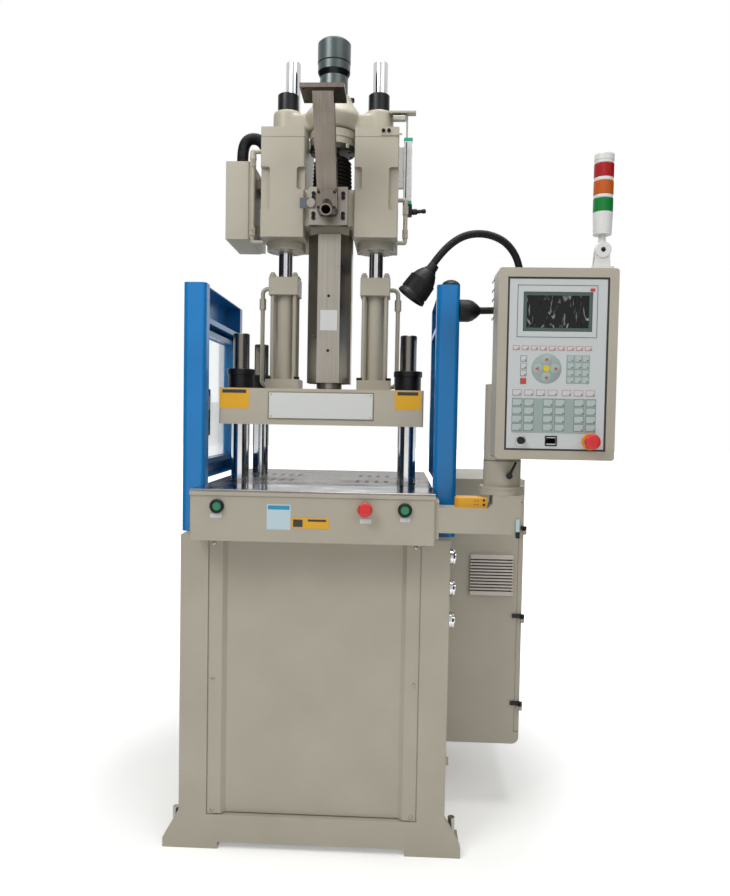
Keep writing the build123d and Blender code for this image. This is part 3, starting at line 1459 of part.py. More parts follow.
export_step(panel_face.part, "parts/panel_face.step")

with BuildPart() as screen:
    with BuildSketch(Plane.XZ.offset(-panel_front - face_setback - face_thickness)):
        with Locations(((screen_left + screen_right) / 2, (screen_bottom + screen_top) / 2)):
            Rectangle(screen_right - screen_left + 10, screen_top - screen_bottom + 10)
    extrude(amount=-6)
screen.part.label = "screen"
export_step(screen.part, "parts/screen.step")

with BuildPart() as panel_knob:
    with BuildSketch(Plane.XZ.offset(-panel_front)):
        with Locations((knob_x, control_row)):
            Circle(9)
            with Locations((0, 9)):
                Rectangle(1.6, 3, mode=Mode.SUBTRACT)
    extrude(amount=12)
    with BuildSketch(Plane.XZ.offset(-panel_front)):
        with Locations((knob_x, control_row)):
            Circle(6)
    extrude(amount=-16)
panel_knob.part.label = "panel_knob"
export_step(panel_knob.part, "parts/panel_knob.step")

with BuildPart() as panel_stop:
    with BuildSketch(Plane((panel_stop_x, panel_front, control_row), x_dir=(1, 0, 0), z_dir=(0, 0, 1))):
        with BuildLine():
            Polyline(
                (0, 16),
                (6, 16),
                (6, -mushroom_lift),
                (mushroom_radius, -mushroom_lift),
                (mushroom_radius, -mushroom_lift - mushroom_thickness / 2),
            )
            Spline(
                (mushroom_radius, -mushroom_lift - mushroom_thickness / 2),
                (0, -mushroom_lift - mushroom_thickness),
                tangents=((0, -1), (-1, 0)),
            )
            Line((0, -mushroom_lift - mushroom_thickness), (0, 16))
        make_face()
    revolve(axis=Axis((panel_stop_x, panel_front, control_row), (0, 1, 0)))
panel_stop.part.label = "panel_stop"
export_step(panel_stop.part, "parts/panel_stop.step")

# Signal tower: a clevis on the panel, a fold-down pole, and a body with three coloured lenses
clevis_z = panel_top + 54
clevis_gap = 13
pole_radius = 9
tower_bottom = clevis_z + 40
lens_bottom = tower_bottom + 56
lens_height = 44
lens_gap = 1.2
tower_core = 17
with BuildPart() as tower_clevis:
    with BuildSketch(Plane.XY.offset(panel_top)):
        with Locations((tower_x, tower_y)):
            RectangleRounded(56, 50, 8)
    extrude(amount=10)
    with BuildSketch(Plane.XZ.offset(-tower_y + clevis_gap / 2 + 7)):
        with BuildLine():
            Polyline((tower_x - 21, panel_top + 10), (tower_x + 21, panel_top + 10), (tower_x + 17, clevis_z))
            RadiusArc((tower_x + 17, clevis_z), (tower_x - 17, clevis_z), -17)
            Line((tower_x - 17, clevis_z), (tower_x - 21, panel_top + 10))
        make_face()
    extrude(amount=-7)
    with BuildSketch(Plane.XZ.offset(-tower_y - clevis_gap / 2)):
        with BuildLine():
            Polyline((tower_x - 21, panel_top + 10), (tower_x + 21, panel_top + 10), (tower_x + 17, clevis_z))
            RadiusArc((tower_x + 17, clevis_z), (tower_x - 17, clevis_z), -17)
            Line((tower_x - 17, clevis_z), (tower_x - 21, panel_top + 10))
        make_face()
    extrude(amount=-7)
    with BuildSketch(Plane.XZ.offset(-tower_y + clevis_gap / 2 + 9)):
        with Locations((tower_x, clevis_z)):
            Circle(4)
    extrude(amount=-clevis_gap - 18)
tower_clevis.part.label = "tower_clevis"
export_step(tower_clevis.part, "parts/tower_clevis.step")

with BuildPart() as tower_pole:
    with BuildSketch(Plane.XZ.offset(-tower_y + clevis_gap / 2 - 0.5)):
        with Locations((tower_x, clevis_z)):
            Circle(15)
            Circle(4.08, mode=Mode.SUBTRACT)
        with Locations((tower_x, clevis_z + 20)):
            Rectangle(2 * pole_radius, 16)
    extrude(amount=-clevis_gap + 1)
    with BuildSketch(Plane.XY.offset(clevis_z + 20)):
        with Locations((tower_x, tower_y)):
            Circle(pole_radius)
    extrude(amount=tower_bottom - clevis_z - 20)
    with BuildSketch(Plane.XY.offset(tower_bottom)):
        with Locations((tower_x, tower_y)):
            Circle(tower_radius - 2)
    extrude(amount=lens_bottom - tower_bottom, taper=-2)
    with BuildSketch(Plane.XY.offset(lens_bottom)):
        with Locations((tower_x, tower_y)):
            Circle(tower_core)
    extrude(amount=3 * lens_height)
    with BuildSketch(Plane.XY.offset(lens_bottom + 3 * lens_height)):
        with Locations((tower_x, tower_y)):
            Circle(tower_radius)
    extrude(amount=18)
    fillet(tower_pole.edges().group_by(Axis.Z)[-1], radius=5)
tower_pole.part.label = "tower_pole"
export_step(tower_pole.part, "parts/tower_pole.step")

with BuildPart() as tower_lenses:
    with BuildSketch(Plane.XY.offset(lens_bottom)):
        with Locations((tower_x, tower_y)):
            Circle(tower_radius - 1)
            Circle(tower_core, mode=Mode.SUBTRACT)
    extrude(amount=3 * lens_height)
    for count in range(3):
        with BuildSketch(Plane.XY.offset(lens_bottom + count * lens_height)):
            with Locations((tower_x, tower_y)):
                Circle(tower_radius)
                Circle(tower_core, mode=Mode.SUBTRACT)
        extrude(amount=lens_height - lens_gap)
tower_lenses.part.label = "tower_lenses"
export_step(tower_lenses.part, "parts/tower_lenses.step")

# Work lamp: a bell foot on the right post, a flexible neck that loops over, and a flared head
lamp_foot = (guard_outer, (post_front + post_back) / 2, guard_top - 74)
lamp_foot_length = 66
lamp_neck_radius = 10
lamp_head_start = (lamp_foot[0] - 82, lamp_foot[1] - 134, lamp_foot[2] + 106)
lamp_head_aim = (-62, 0, -87)
lamp_head_length = 108
lamp_head_radius = 41
with BuildPart() as work_lamp:
    with BuildSketch(Plane(lamp_foot, x_dir=(1, 0, 0), z_dir=(0, 0, 1))):
        with BuildLine():
            Polyline(
                (0, 0),
                (0, -30),
                (34, -28),
                (52, -16),
                (lamp_foot_length, -lamp_neck_radius - 2),
                (lamp_foot_length, 0),
                close=True,
            )
        make_face()
    revolve(axis=Axis(lamp_foot, (1, 0, 0)))
    neck_origin = (lamp_foot[0] + lamp_foot_length - 4, lamp_foot[1], lamp_foot[2])
    with BuildLine():
        FilletPolyline(
            neck_origin,
            (neck_origin[0] + 124, lamp_foot[1], lamp_foot[2]),
            (lamp_foot[0] + 182, lamp_foot[1] - 64, lamp_foot[2] + 160),
            (lamp_foot[0] + 100, lamp_foot[1] - 126, lamp_foot[2] + 224),
            (lamp_foot[0] + 2, lamp_foot[1] - 134, lamp_foot[2] + 204),
            lamp_head_start,
            radius=50,
        )
    with BuildSketch(Plane(neck_origin, z_dir=(1, 0, 0))):
        Circle(lamp_neck_radius)
    sweep()
    with BuildSketch(Plane(lamp_head_start, x_dir=lamp_head_aim, z_dir=(0, -1, 0))):
        with BuildLine():
            Polyline(
                (-6, 0),
                (-6, 14),
                (14, 17),
                (30, 28),
                (48, 36),
                (lamp_head_length, lamp_head_radius),
                (lamp_head_length, lamp_head_radius - 3),
                (50, 33),
                (32, 24),
                (32, 0),
                close=True,
            )
        make_face()
    revolve(axis=Axis(lamp_head_start, lamp_head_aim))
work_lamp.part.label = "work_lamp"
export_step(work_lamp.part, "parts/work_lamp.step")
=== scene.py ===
import math

import bpy
from mathutils import Matrix, Vector


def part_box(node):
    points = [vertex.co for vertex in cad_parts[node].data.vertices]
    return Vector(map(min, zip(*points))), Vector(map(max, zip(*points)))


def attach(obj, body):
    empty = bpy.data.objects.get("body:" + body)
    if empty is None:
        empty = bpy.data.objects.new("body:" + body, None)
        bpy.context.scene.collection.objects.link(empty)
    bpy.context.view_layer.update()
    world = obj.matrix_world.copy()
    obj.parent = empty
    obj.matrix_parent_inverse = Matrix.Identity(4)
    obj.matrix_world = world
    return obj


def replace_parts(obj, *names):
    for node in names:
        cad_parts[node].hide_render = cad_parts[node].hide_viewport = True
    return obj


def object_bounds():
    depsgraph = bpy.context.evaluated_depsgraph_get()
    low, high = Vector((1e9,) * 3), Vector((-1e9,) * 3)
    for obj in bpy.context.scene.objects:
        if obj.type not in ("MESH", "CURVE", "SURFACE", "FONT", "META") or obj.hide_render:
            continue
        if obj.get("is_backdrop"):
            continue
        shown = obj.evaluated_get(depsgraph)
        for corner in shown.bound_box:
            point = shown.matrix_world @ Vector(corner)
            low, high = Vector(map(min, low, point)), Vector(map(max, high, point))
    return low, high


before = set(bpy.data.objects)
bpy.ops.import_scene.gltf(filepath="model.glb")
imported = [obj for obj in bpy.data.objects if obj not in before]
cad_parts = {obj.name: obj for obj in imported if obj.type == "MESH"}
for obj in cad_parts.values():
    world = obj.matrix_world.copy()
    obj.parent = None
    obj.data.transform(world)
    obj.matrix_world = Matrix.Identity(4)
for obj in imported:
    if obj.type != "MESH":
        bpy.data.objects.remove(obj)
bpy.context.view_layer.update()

MM = 0.001

# Base frame, covers, castings and cases: mild steel sheet and cast iron under one coat of machine enamel.
# The enamel is a warm grey beige, sprayed and baked, which gives a faint orange peel and a drifting tone.


def linear(colour):
    """An sRGB hex colour as the linear values that a shader socket takes."""
    channels = [int(colour[i : i + 2], 16) / 255 for i in (1, 3, 5)]
    return (*[c / 12.92 if c <= 0.04045 else ((c + 0.055) / 1.055) ** 2.4 for c in channels], 1)


def connect(material, node, sources):
    """Leads outputs into a node's sockets, where a node given as source stands for its first output."""
    for socket, source in sources.items():
        output = getattr(source, "outputs", [source])[0]
        material.node_tree.links.new(output, node.inputs[socket])


def add(material, kind, values=None, links=None, **settings):
    """Adds one node to a material, with its settings, socket values and links."""
    node = material.node_tree.nodes.new("ShaderNode" + kind)
    for name, value in settings.items():
        setattr(node, name, value)
    for socket, value in (values or {}).items():
        node.inputs[socket].default_value = value
    connect(material, node, links or {})
    return node


def finish(name, colour, roughness, metallic=0.0):
    """A plain material, its shader, and the place on the object for patterns to follow."""
    material = bpy.data.materials.new(name)
    material.use_nodes = True
    shader = material.node_tree.nodes["Principled BSDF"]
    shader.inputs["Base Color"].default_value = linear(colour)
    shader.inputs["Roughness"].default_value = roughness
    shader.inputs["Metallic"].default_value = metallic
    return material, shader, add(material, "TexCoord").outputs["Object"]


def blended(material, factor, start, start_colour, end, end_colour):
    """Two colours that follow a factor: one up to a first value of it, the other from a second."""
    ramp = add(material, "ValToRGB", links={"Fac": factor})
    for stop, place, colour in zip(ramp.color_ramp.elements, (start, end), (start_colour, end_colour)):
        stop.position = place
        stop.color = linear(colour)
    return ramp


def sprayed(name, light, dark, roughness, peel=2.2 * MM, depth=0.02 * MM, metallic=0.0, above=None):
    """Sprayed enamel: tone drifts over hands' breadths, and orange peel shows in the gloss."""
    material, shader, place = finish(name, light, roughness, metallic)
    drift = add(material, "TexNoise", {"Scale": 1 / (180 * MM), "Detail": 3.0}, {"Vector": place})
    tone = blended(material, drift, 0.3, dark, 0.7, light)
    if above:
        level, lower_colour = above
        height = add(material, "SeparateXYZ", links={"Vector": place}).outputs["Z"]
        step = add(material, "Math", {1: level * MM}, {0: height}, operation="GREATER_THAN")
        sides = {"Fac": step, "Color2": tone}
        tone = add(material, "MixRGB", {"Color1": linear(lower_colour)}, sides)
    skin = add(material, "TexNoise", {"Scale": 1 / peel, "Detail": 1.0}, {"Vector": place})
    bump = add(material, "Bump", {"Strength": 0.35, "Distance": depth}, {"Height": skin})
    connect(material, shader, {"Base Color": tone, "Normal": bump})
    return material


def paint(material, *nodes):
    """Gives CAD nodes one material all over."""
    for node in nodes:
        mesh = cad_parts[node].data
        mesh.materials.clear()
        mesh.materials.append(material)


enamel_light, enamel_dark, enamel_gloss = "#B2AC9C", "#ABA494", 0.4
beige_enamel = sprayed("machine_enamel_warm_grey", enamel_light, enamel_dark, enamel_gloss)
paint(beige_enamel, "base_frame", "front_cover", "rear_cover", "front_apron", "lower_platen", "upper_platen")
paint(beige_enamel, "control_cabinet", "cabinet_door", "panel_arm", "pillar", "panel_case", "oil_tank")
paint(beige_enamel, "injection_blocks", "block_covers", "carriage_cylinders", "cylinder_tie_rods")
paint(beige_enamel, "carriage_pipes", "junction_box", "throat_block", "clamp_crosshead", "clamp_cylinder")
paint(beige_enamel, "sensor_arm")
enamelled = (beige_enamel, "beige_enamel")

# Cover screws: six cross-slotted pan heads hold the front cover at the edges of its raised strips.
# Zinc-plated steel, cold headed, which gives a dull grey glint; each slot is a black cross of painted shade.
UP, FRONT, RIGHT = (0, 0, 1), (0, -1, 0), (1, 0, 0)


def grained(name, colour, roughness, grain=0.9 * MM, metallic=0.0, depth=0.03 * MM, specular=0.5):
    """A moulded, plated or oxidised surface: fine grain in its relief, slight changes in its gloss."""
    material, shader, place = finish(name, colour, roughness, metallic)
    shader.inputs["Specular IOR Level"].default_value = specular
    grit = add(material, "TexNoise", {"Scale": 1 / grain, "Detail": 2.0}, {"Vector": place})
    relief = add(material, "Bump", {"Strength": 0.4, "Distance": depth}, {"Height": grit})
    wear = add(material, "TexNoise", {"Scale": 1 / (35 * MM), "Detail": 3.0}, {"Vector": place})
    spread = {"From Min": 0.3, "From Max": 0.7, "To Min": roughness - 0.08, "To Max": roughness + 0.08}
    gloss = add(material, "MapRange", spread, {"Value": wear})
    connect(material, shader, {"Normal": relief, "Roughness": gloss})
    return material


def corners(node):
    """The low and high corners of a CAD node's box, in millimetres."""
    return [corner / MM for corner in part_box(node)]


def pick(piece):
    """Leaves one object selected and active."""
    bpy.ops.object.select_all(action="DESELECT")
    piece.select_set(True)
    bpy.context.view_layer.objects.active = piece
    return piece


def settle(piece, name, look, body, smooth=30):
    """Puts a new piece's place into its mesh, gives it its look, and lets it ride on its body."""
    material, slot = look if isinstance(look, tuple) else (look, None)
    pick(piece).name = name
    bpy.ops.object.transform_apply()
    bpy.ops.object.shade_smooth_by_angle(angle=math.radians(smooth))
    piece.data.materials.clear()
    piece.data.materials.append(material)
    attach(piece, body)
    return piece


def welded():
    """Welds the mesh in hand, turns its faces outwards and leaves edit mode."""
    bpy.ops.mesh.select_all(action="SELECT")
    bpy.ops.mesh.remove_doubles(threshold=0.01 * MM)
    bpy.ops.mesh.normals_make_consistent(inside=False)
    bpy.ops.object.mode_set(mode="OBJECT")


def turned(name, profile, place, axis, look, body, sides=32, smooth=30):
    """A disc, or a ring where the profile closes, drawn out through (height, radius) steps."""
    height, radius = profile[0]
    fill = "NOTHING" if profile[0] == profile[-1] else "NGON"
    start = (0, 0, height * MM)
    bpy.ops.mesh.primitive_circle_add(vertices=sides, radius=radius * MM, fill_type=fill, location=start)
    piece = bpy.context.active_object
    bpy.ops.object.transform_apply()
    bpy.ops.object.mode_set(mode="EDIT")
    bpy.ops.mesh.select_all(action="SELECT")
    for next_height, next_radius in profile[1:]:
        rise = (0, 0, (next_height - height) * MM)
        bpy.ops.mesh.extrude_region_move(TRANSFORM_OT_translate={"value": rise})
        grow = next_radius / radius
        if grow != 1:
            bpy.ops.transform.resize(value=(grow, grow, 1), center_override=(0, 0, next_height * MM))
        height, radius = next_height, next_radius
    welded()
    turn = Vector(UP).rotation_difference(Vector(axis).normalized()).to_matrix().to_4x4()
    piece.matrix_world = Matrix.Translation(Vector(place) * MM) @ turn
    return settle(piece, name, look, body, smooth)


def block(name, low, high, look, body, bevel=0.5, segments=2):
    """A cut block between two corners in millimetres, with its edges bevelled and its faces left flat."""
    middle = [(a + b) / 2 * MM for a, b in zip(low, high)]
    bpy.ops.mesh.primitive_cube_add(size=1, location=middle)
    piece = bpy.context.active_object
    piece.scale = [abs(b - a) * MM for a, b in zip(low, high)]
    bpy.ops.object.transform_apply()
    bpy.ops.object.mode_set(mode="EDIT")
    bpy.ops.mesh.select_all(action="SELECT")
    bpy.ops.mesh.bevel(offset=bevel * MM, segments=segments, affect="EDGES")
    bpy.ops.object.mode_set(mode="OBJECT")
    return settle(piece, name, look, body, smooth=20)


def join(name, pieces):
    """Joins like pieces into one; the first one's body stays."""
    bpy.ops.object.select_all(action="DESELECT")
    for piece in pieces:
        piece.select_set(True)
    bpy.context.view_layer.objects.active = pieces[0]
    bpy.ops.object.join()
    pieces[0].name = name
    return pieces[0]


def repeat(piece, moves):
    """Copies of a finished piece, each moved in millimetres from the first, joined to it."""
    copies = [piece]
    for move in moves:
        pick(piece)
        bpy.ops.object.duplicate(linked=False)
        bpy.ops.transform.translate(value=[step * MM for step in move])
        copies.append(bpy.context.active_object)
    return join(piece.name, copies)


plated_steel = grained("zinc_plated_steel", "#A9A79F", 0.32, metallic=1.0)
# Besides real blackened parts, this black serves as painted shade in the cover screws' slots.
oxide_and_slot_shade = grained("black_oxide_steel_and_slot_shade", "#1B1C1E", 0.36, metallic=0.6)
plated, blackened = (plated_steel, "chrome"), (oxide_and_slot_shade, "black_steel")
cover_face = corners("front_cover")[0].y
screw_x, screw_low, screw_mid, screw_high = 287, 112, 495, 888
slot_long, slot_wide, slot_out, slot_in = 3, 0.5, 3.7, 2.4
pan_head = [(0, 5.8), (1.2, 5.6), (2.5, 4.6), (3.3, 2.4), (3.4, 0.3)]
place = (-screw_x, cover_face, screw_low)
pieces = [turned("cover_screws", pan_head, place, FRONT, plated_steel, "base", 20)]
# Painted shade: the slots are black crosses standing just proud of the heads, not cut into them.
for across, up in ((slot_long, slot_wide), (slot_wide, slot_long)):
    low = (-screw_x - across, cover_face - slot_out, screw_low - up)
    high = (-screw_x + across, cover_face - slot_in, screw_low + up)
    pieces.append(block("slot_painted_shade", low, high, oxide_and_slot_shade, "base", bevel=0.1, segments=1))
moves = [(x, 0, z - screw_low) for x in (0, 2 * screw_x) for z in (screw_low, screw_mid, screw_high)]
repeat(join("cover_screws", pieces), moves[1:])

# Levelling feet: long hexagon bolts with lock nuts through the lugs at the base's corners.
# Zinc-plated steel, which gives them a dull grey glint.
paint(plated_steel, "levelling_bolts")

# Table: a thick steel plate, face ground, standing in a folded lip of the apron.
# Grinding leaves fine lines across it, and oil dulls it.
# They are drawn 1.5 mm apart, because real ones of 0.3 mm don't show.


def ground(name, colour, dark, roughness, across, along, line=1.5 * MM, run=160 * MM):
    """Machined or brushed steel: long fine lines in one direction, seen in tone and gloss."""
    material, shader, place = finish(name, colour, roughness, 1.0)
    scale = [1 / (60 * MM)] * 3
    scale[across] = 1 / line
    scale[along] = 1 / run
    drawn = add(material, "Mapping", {"Scale": scale}, {"Vector": place})
    fine = {"Scale": 1.0, "Detail": 2.0, "Roughness": 0.4}
    lines = add(material, "TexNoise", fine, {"Vector": drawn})
    stain = add(material, "TexNoise", {"Scale": 1 / (90 * MM), "Detail": 4.0}, {"Vector": place})
    spread = {"From Min": 0.3, "From Max": 0.7, "To Min": roughness - 0.06, "To Max": roughness + 0.12}
    gloss = add(material, "MapRange", spread, {"Value": stain})
    tone = blended(material, lines, 0.35, dark, 0.65, colour)
    connect(material, shader, {"Base Color": tone, "Roughness": gloss})
    return material


ground_steel = ground("ground_steel", "#85817B", "#6F6B65", 0.24, across=1, along=0)
paint(ground_steel, "table_plate")
table_low, table_high = corners("table_plate")
low = (table_low.x, table_low.y - 0.8, table_low.z - 2)
high = (table_high.x, table_low.y + 0.2, table_low.z + 8)
block("apron_lip", low, high, enamelled, "base", 0.3)

# Front sheet: polished stainless laid over the table's front, from its edge to the tie bars.
# It keeps the operator's side clean and mirrors the bars softly.
polished_sheet = ground("polished_front_sheet", "#A3A6AA", "#9A9DA1", 0.12, 1, 0, line=4 * MM, run=500 * MM)
sheet_back, sheet_thick = -291, 0.9
low = (table_low.x + 2, table_low.y + 1, table_high.z - 0.3)
high = (table_high.x - 2, sheet_back, table_high.z + sheet_thick)
block("table_front_sheet", low, high, (polished_sheet, "brushed_steel"), "base", 0.3)

# Front apron: folded sheet with two green start buttons and a red stop button, each with a bare tag below it.
# Its fields of adhesive film are plain: nothing is printed on them but a bar of colour.
film_white = grained("adhesive_film_white", "#D5D6D3", 0.35)
film_yellow = grained("adhesive_film_yellow", "#DDA51B", 0.4)
film_pale = grained("adhesive_film_pale", "#BCD0D8", 0.4)
film_blue = grained("adhesive_film_blue", "#2C8DB5", 0.4)
# This black serves for print, for the panel face's seal, and as painted shade in slots and grooves.
print_seal_and_shade_black = grained("black_print_seal_and_painted_shade", "#232425", 0.45)
apron_face = corners("front_apron")[0].y
fields = (
    ("apron_field_pale", (-122, 0.5, 944), (-57, 0, 1013), film_pale),
    ("apron_field_band", (-119, 0.8, 999), (-60, 0.4, 1010), film_blue),
    ("apron_field_yellow", (-56, 0.5, 949), (48, 0, 978), film_yellow),
    ("apron_field_bar", (-10, 0.8, 968), (40, 0.4, 974), print_seal_and_shade_black),
    ("apron_field_dark", (-50, 0.8, 953), (-24, 0.4, 973), print_seal_and_shade_black),
    ("button_tag_left", (-277, 0.6, 973), (-245, 0, 984), film_white),
    ("button_tag_stop", (131, 0.6, 966), (162, 0, 978), film_white),
    ("button_tag_right", (240, 0.6, 973), (267, 0, 984), film_white),
)
for name, low, high, film in fields:
    start, end = (low[0], apron_face - low[1], low[2]), (high[0], apron_face - high[1], high[2])
    block(name, start, end, film, "base", bevel=0.15)
# Besides moulded black parts, this black serves as painted shade in the safety switch's socket holes.
black_plastic = grained("black_moulded_nylon_and_hole_shade", "#0D0E0F", 0.48, specular=0.3)
nylon = (black_plastic, "black_plastic")
green_plastic = grained("green_button_acrylic", "#0F7F55", 0.24)
red_plastic = grained("red_button_nylon", "#CF2A28", 0.34)
yellow_nylon = grained("yellow_moulded_nylon", "#DFA32A", 0.42)
paint(black_plastic, "button_collars")
paint(green_plastic, "start_button_left", "start_button_right")
paint(red_plastic, "stop_button", "panel_stop")

# Guards: folded sheet posts, trays and rails under bright blue enamel, glossier than the beige.
# The windows are clear acrylic sheet; handling leaves a light haze in its gloss.
blue_enamel = sprayed("guard_enamel_blue", "#0A7CC2", "#0873B4", 0.26)
paint(blue_enamel, "guard_frames")
clear_acrylic, acrylic_shader, place = finish("clear_acrylic", "#F2F6F6", 0.04)
acrylic_shader.inputs["Transmission Weight"].default_value = 1.0
acrylic_shader.inputs["IOR"].default_value = 1.49
handled = add(clear_acrylic, "TexNoise", {"Scale": 1 / (60 * MM), "Detail": 4.0}, {"Vector": place})
haze = add(clear_acrylic, "MapRange", {"To Min": 0.02, "To Max": 0.1}, {"Value": handled})
connect(clear_acrylic, acrylic_shader, {"Roughness": haze})
paint(clear_acrylic, "guard_windows")

# Window pulls: a recessed black moulding on each window's front stile, with a plated finger plate.
# They are pressed into the blue frame from inside the machine.
stile_face, pull_thick, plate_thick = 342.8, 2.2, 1.2
for side, inner in (("left", -1), ("right", 1)):
    face = inner * stile_face
    low_x, high_x = sorted((face, face + inner * pull_thick))
    block(f"window_pull_{side}", (low_x, -240, 1190), (high_x, -212, 1330), black_plastic, "base", bevel=0.8)
    low_x, high_x = sorted((face - inner * plate_thick, face))
    block(f"pull_plate_{side}", (low_x, -236, 1268), (high_x, -222, 1310), plated_steel, "base", bevel=0.5)

# Tie bars: four ground bars, hard chromed where the platen slides and left as turned steel above the nuts.
# Chrome is a near mirror whose gloss changes slightly with oil; the turned ends are darker and duller.
chrome = ("#C9C9CB", 0.1, 1.0)
hard_chrome, chrome_shader, place = finish("hard_chrome", *chrome)
drag = add(hard_chrome, "TexNoise", {"Scale": 1 / (25 * MM), "Detail": 3.0}, {"Vector": place})
oil = add(hard_chrome, "MapRange", {"To Min": 0.07, "To Max": 0.15}, {"Value": drag})
connect(hard_chrome, chrome_shader, {"Roughness": oil})
paint(hard_chrome, "guide_rods", "water_couplings")


def zoned(name, lower, upper, level):
    """A bar in two finishes that meet at one height: each a colour, a roughness and a metal share."""
    material, shader, place = finish(name, *lower)
    height = add(material, "SeparateXYZ", links={"Vector": place}).outputs["Z"]
    step = add(material, "Math", {1: level * MM}, {0: height}, operation="GREATER_THAN")
    film = add(material, "TexNoise", {"Scale": 1 / (22 * MM), "Detail": 3.0}, {"Vector": place})
    gloss = add(material, "MapRange", {"To Min": lower[1], "To Max": upper[1]}, {"Value": step})
    oiled = add(material, "Math", {1: 0.08, 2: -0.04}, {0: film}, operation="MULTIPLY_ADD")
    total = add(material, "Math", links={0: gloss, 1: oiled})
    tone = blended(material, step, 0.4, lower[0], 0.6, upper[0])
    sources = {"Base Color": tone, "Roughness": total}
    if lower[2] != upper[2]:
        share = {"To Min": lower[2], "To Max": upper[2]}
        sources["Metallic"] = add(material, "MapRange", share, {"Value": step})
    connect(material, shader, sources)
    return material


platen_low, platen_high = corners("upper_platen")
bar_steel = zoned("tie_bar_steel", chrome, ("#7D776F", 0.24, 1.0), platen_high.z)
paint(bar_steel, "tie_bars")
paint(oxide_and_slot_shade, "tie_bar_nuts")
nut_high, nut_radius = corners("tie_bar_nuts")[1], 42
bar_x, bar_y = nut_high.x - nut_radius, nut_high.y - nut_radius
other_bars = [(2 * bar_x, 0, 0), (0, 2 * bar_y, 0), (2 * bar_x, 2 * bar_y, 0)]
nut_rim = [(-17, 41.5), (-16, 43.6), (-1, 43.6), (0.6, 42), (0.6, 30), (-17, 30), (-17, 41.5)]
nut_place = (-bar_x, -bar_y, nut_high.z)
repeat(turned("nut_rings", nut_rim, nut_place, UP, blackened, "clamp", 48), other_bars)
bar_end = (-bar_x, -bar_y, corners("tie_bars")[1].z)
centre_mark = [(-1, 8), (0.8, 8), (1.6, 6.4), (0.4, 4), (-1, 2)]
repeat(turned("bar_centres", centre_mark, bar_end, UP, plated, "clamp", 24), other_bars)

# Moving platen: its front carries a bare white plate in an olive frame, and a yellow field at each end.
# The plate is enamelled aluminium, riveted at its corners, with nothing on it.
film_olive = grained("plate_rim_olive", "#7F7B66", 0.4)
plate_enamel = grained("plate_enamel_white", "#D3D4D1", 0.42)
platen_face, rivet_x, rivet_low, rivet_high = platen_low.y, 147, 1252, 1316
block("plate_rim", (-157, platen_face - 1.4, 1243), (157, platen_face, 1325), film_olive, "clamp", bevel=1.0)
low, high = (-153.5, platen_face - 2.2, 1246.5), (153.5, platen_face - 1.2, 1321.5)
block("name_plate", low, high, plate_enamel, "clamp", bevel=0.6)
rivet_head = [(0, 2.4), (1, 1.6), (1.4, 0.2)]
rivet_place = (-rivet_x, platen_face - 2.2, rivet_low)
rivet = turned("plate_rivets", rivet_head, rivet_place, FRONT, plated, "clamp", 16)
rivet_rise = rivet_high - rivet_low
repeat(rivet, [(2 * rivet_x, 0, 0), (0, 0, rivet_rise), (2 * rivet_x, 0, rivet_rise)])
for side, low_x, high_x, low_z in (("left", platen_low.x + 1.5, -214, 1273), ("right", 218, 295, 1277)):
    low, high = (low_x, platen_face - 0.5, low_z), (high_x, platen_face, 1332)
    block(f"platen_field_{side}", low, high, film_yellow, "clamp", bevel=0.15)
    low, high = (low_x + 8, platen_face - 0.8, 1319), (high_x - 8, platen_face - 0.4, 1329)
    block(f"platen_field_bar_{side}", low, high, print_seal_and_shade_black, "clamp", bevel=0.15)

# Carriage cylinders: tubes between square heads, each drawn together by four tie rods, all beige enamelled.
# Hexagon nuts stand on the heads at the ends of the rods, and socket screws hold the feet to the platen.
rod_x, rod_side, rod_front, tie_step = 148, 36, -46, 72
cylinder_top, foot_top = corners("carriage_cylinders")[1].z, 1372
hexagon = [(0, 11.5), (8, 11.5), (9.4, 10), (9.4, 6.5), (9.4, 0.5)]
nut_place = (-rod_x - rod_side, rod_front, cylinder_top)
rod_nut = turned("rod_nuts", hexagon, nut_place, UP, enamelled, "clamp", 6)
moves = [(side + x, y, 0) for side in (0, 2 * rod_x) for x in (0, tie_step) for y in (0, tie_step)]
repeat(rod_nut, moves[1:])
socket_screw = [(0, 9), (7, 9), (8, 7.6), (8, 5), (4, 4.6), (4, 0.5)]
foot_step = 94
bolt_place = (-rod_x - foot_step / 2, -57, foot_top)
foot_bolt = turned("foot_bolts", socket_screw, bolt_place, UP, blackened, "clamp", 24)
repeat(foot_bolt, [(foot_step, 0, 0), (2 * rod_x, 0, 0), (2 * rod_x + foot_step, 0, 0)])

# Rams: chromed below, with ribbed flanges under the injection blocks that are enamelled with them.
# The ribs round each flange are cast grips for a hook spanner.


def circled(piece, count, axis=Matrix()):
    """Copies of a finished piece, turned evenly about an axis and joined to it."""
    ring = [piece]
    for turn in range(1, count):
        pick(piece)
        bpy.ops.object.duplicate(linked=False)
        copy = bpy.context.active_object
        spin = Matrix.Rotation(turn * 2 * math.pi / count, 4, "Z")
        copy.matrix_world = axis @ spin @ axis.inverted() @ copy.matrix_world
        ring.append(copy)
    pick(join(piece.name, ring))
    bpy.ops.object.transform_apply()
    return piece


ram_steel = zoned("carriage_ram_steel", chrome, (enamel_light, enamel_gloss, 0.0), 1787.5)
paint(ram_steel, "carriage_rams")
unit = "injection_unit"
rib_half, rib_out, rib_in = 2.2, 62.8, 60.2
low, high = (-rod_x - rib_half, -rib_out, 1790), (-rod_x + rib_half, -rib_in, 1813)
rib = block("flange_ribs", low, high, enamelled, unit, 0.5, 1)
repeat(circled(rib, 28, Matrix.Translation((-rod_x * MM, 0, 0))), [(2 * rod_x, 0, 0)])

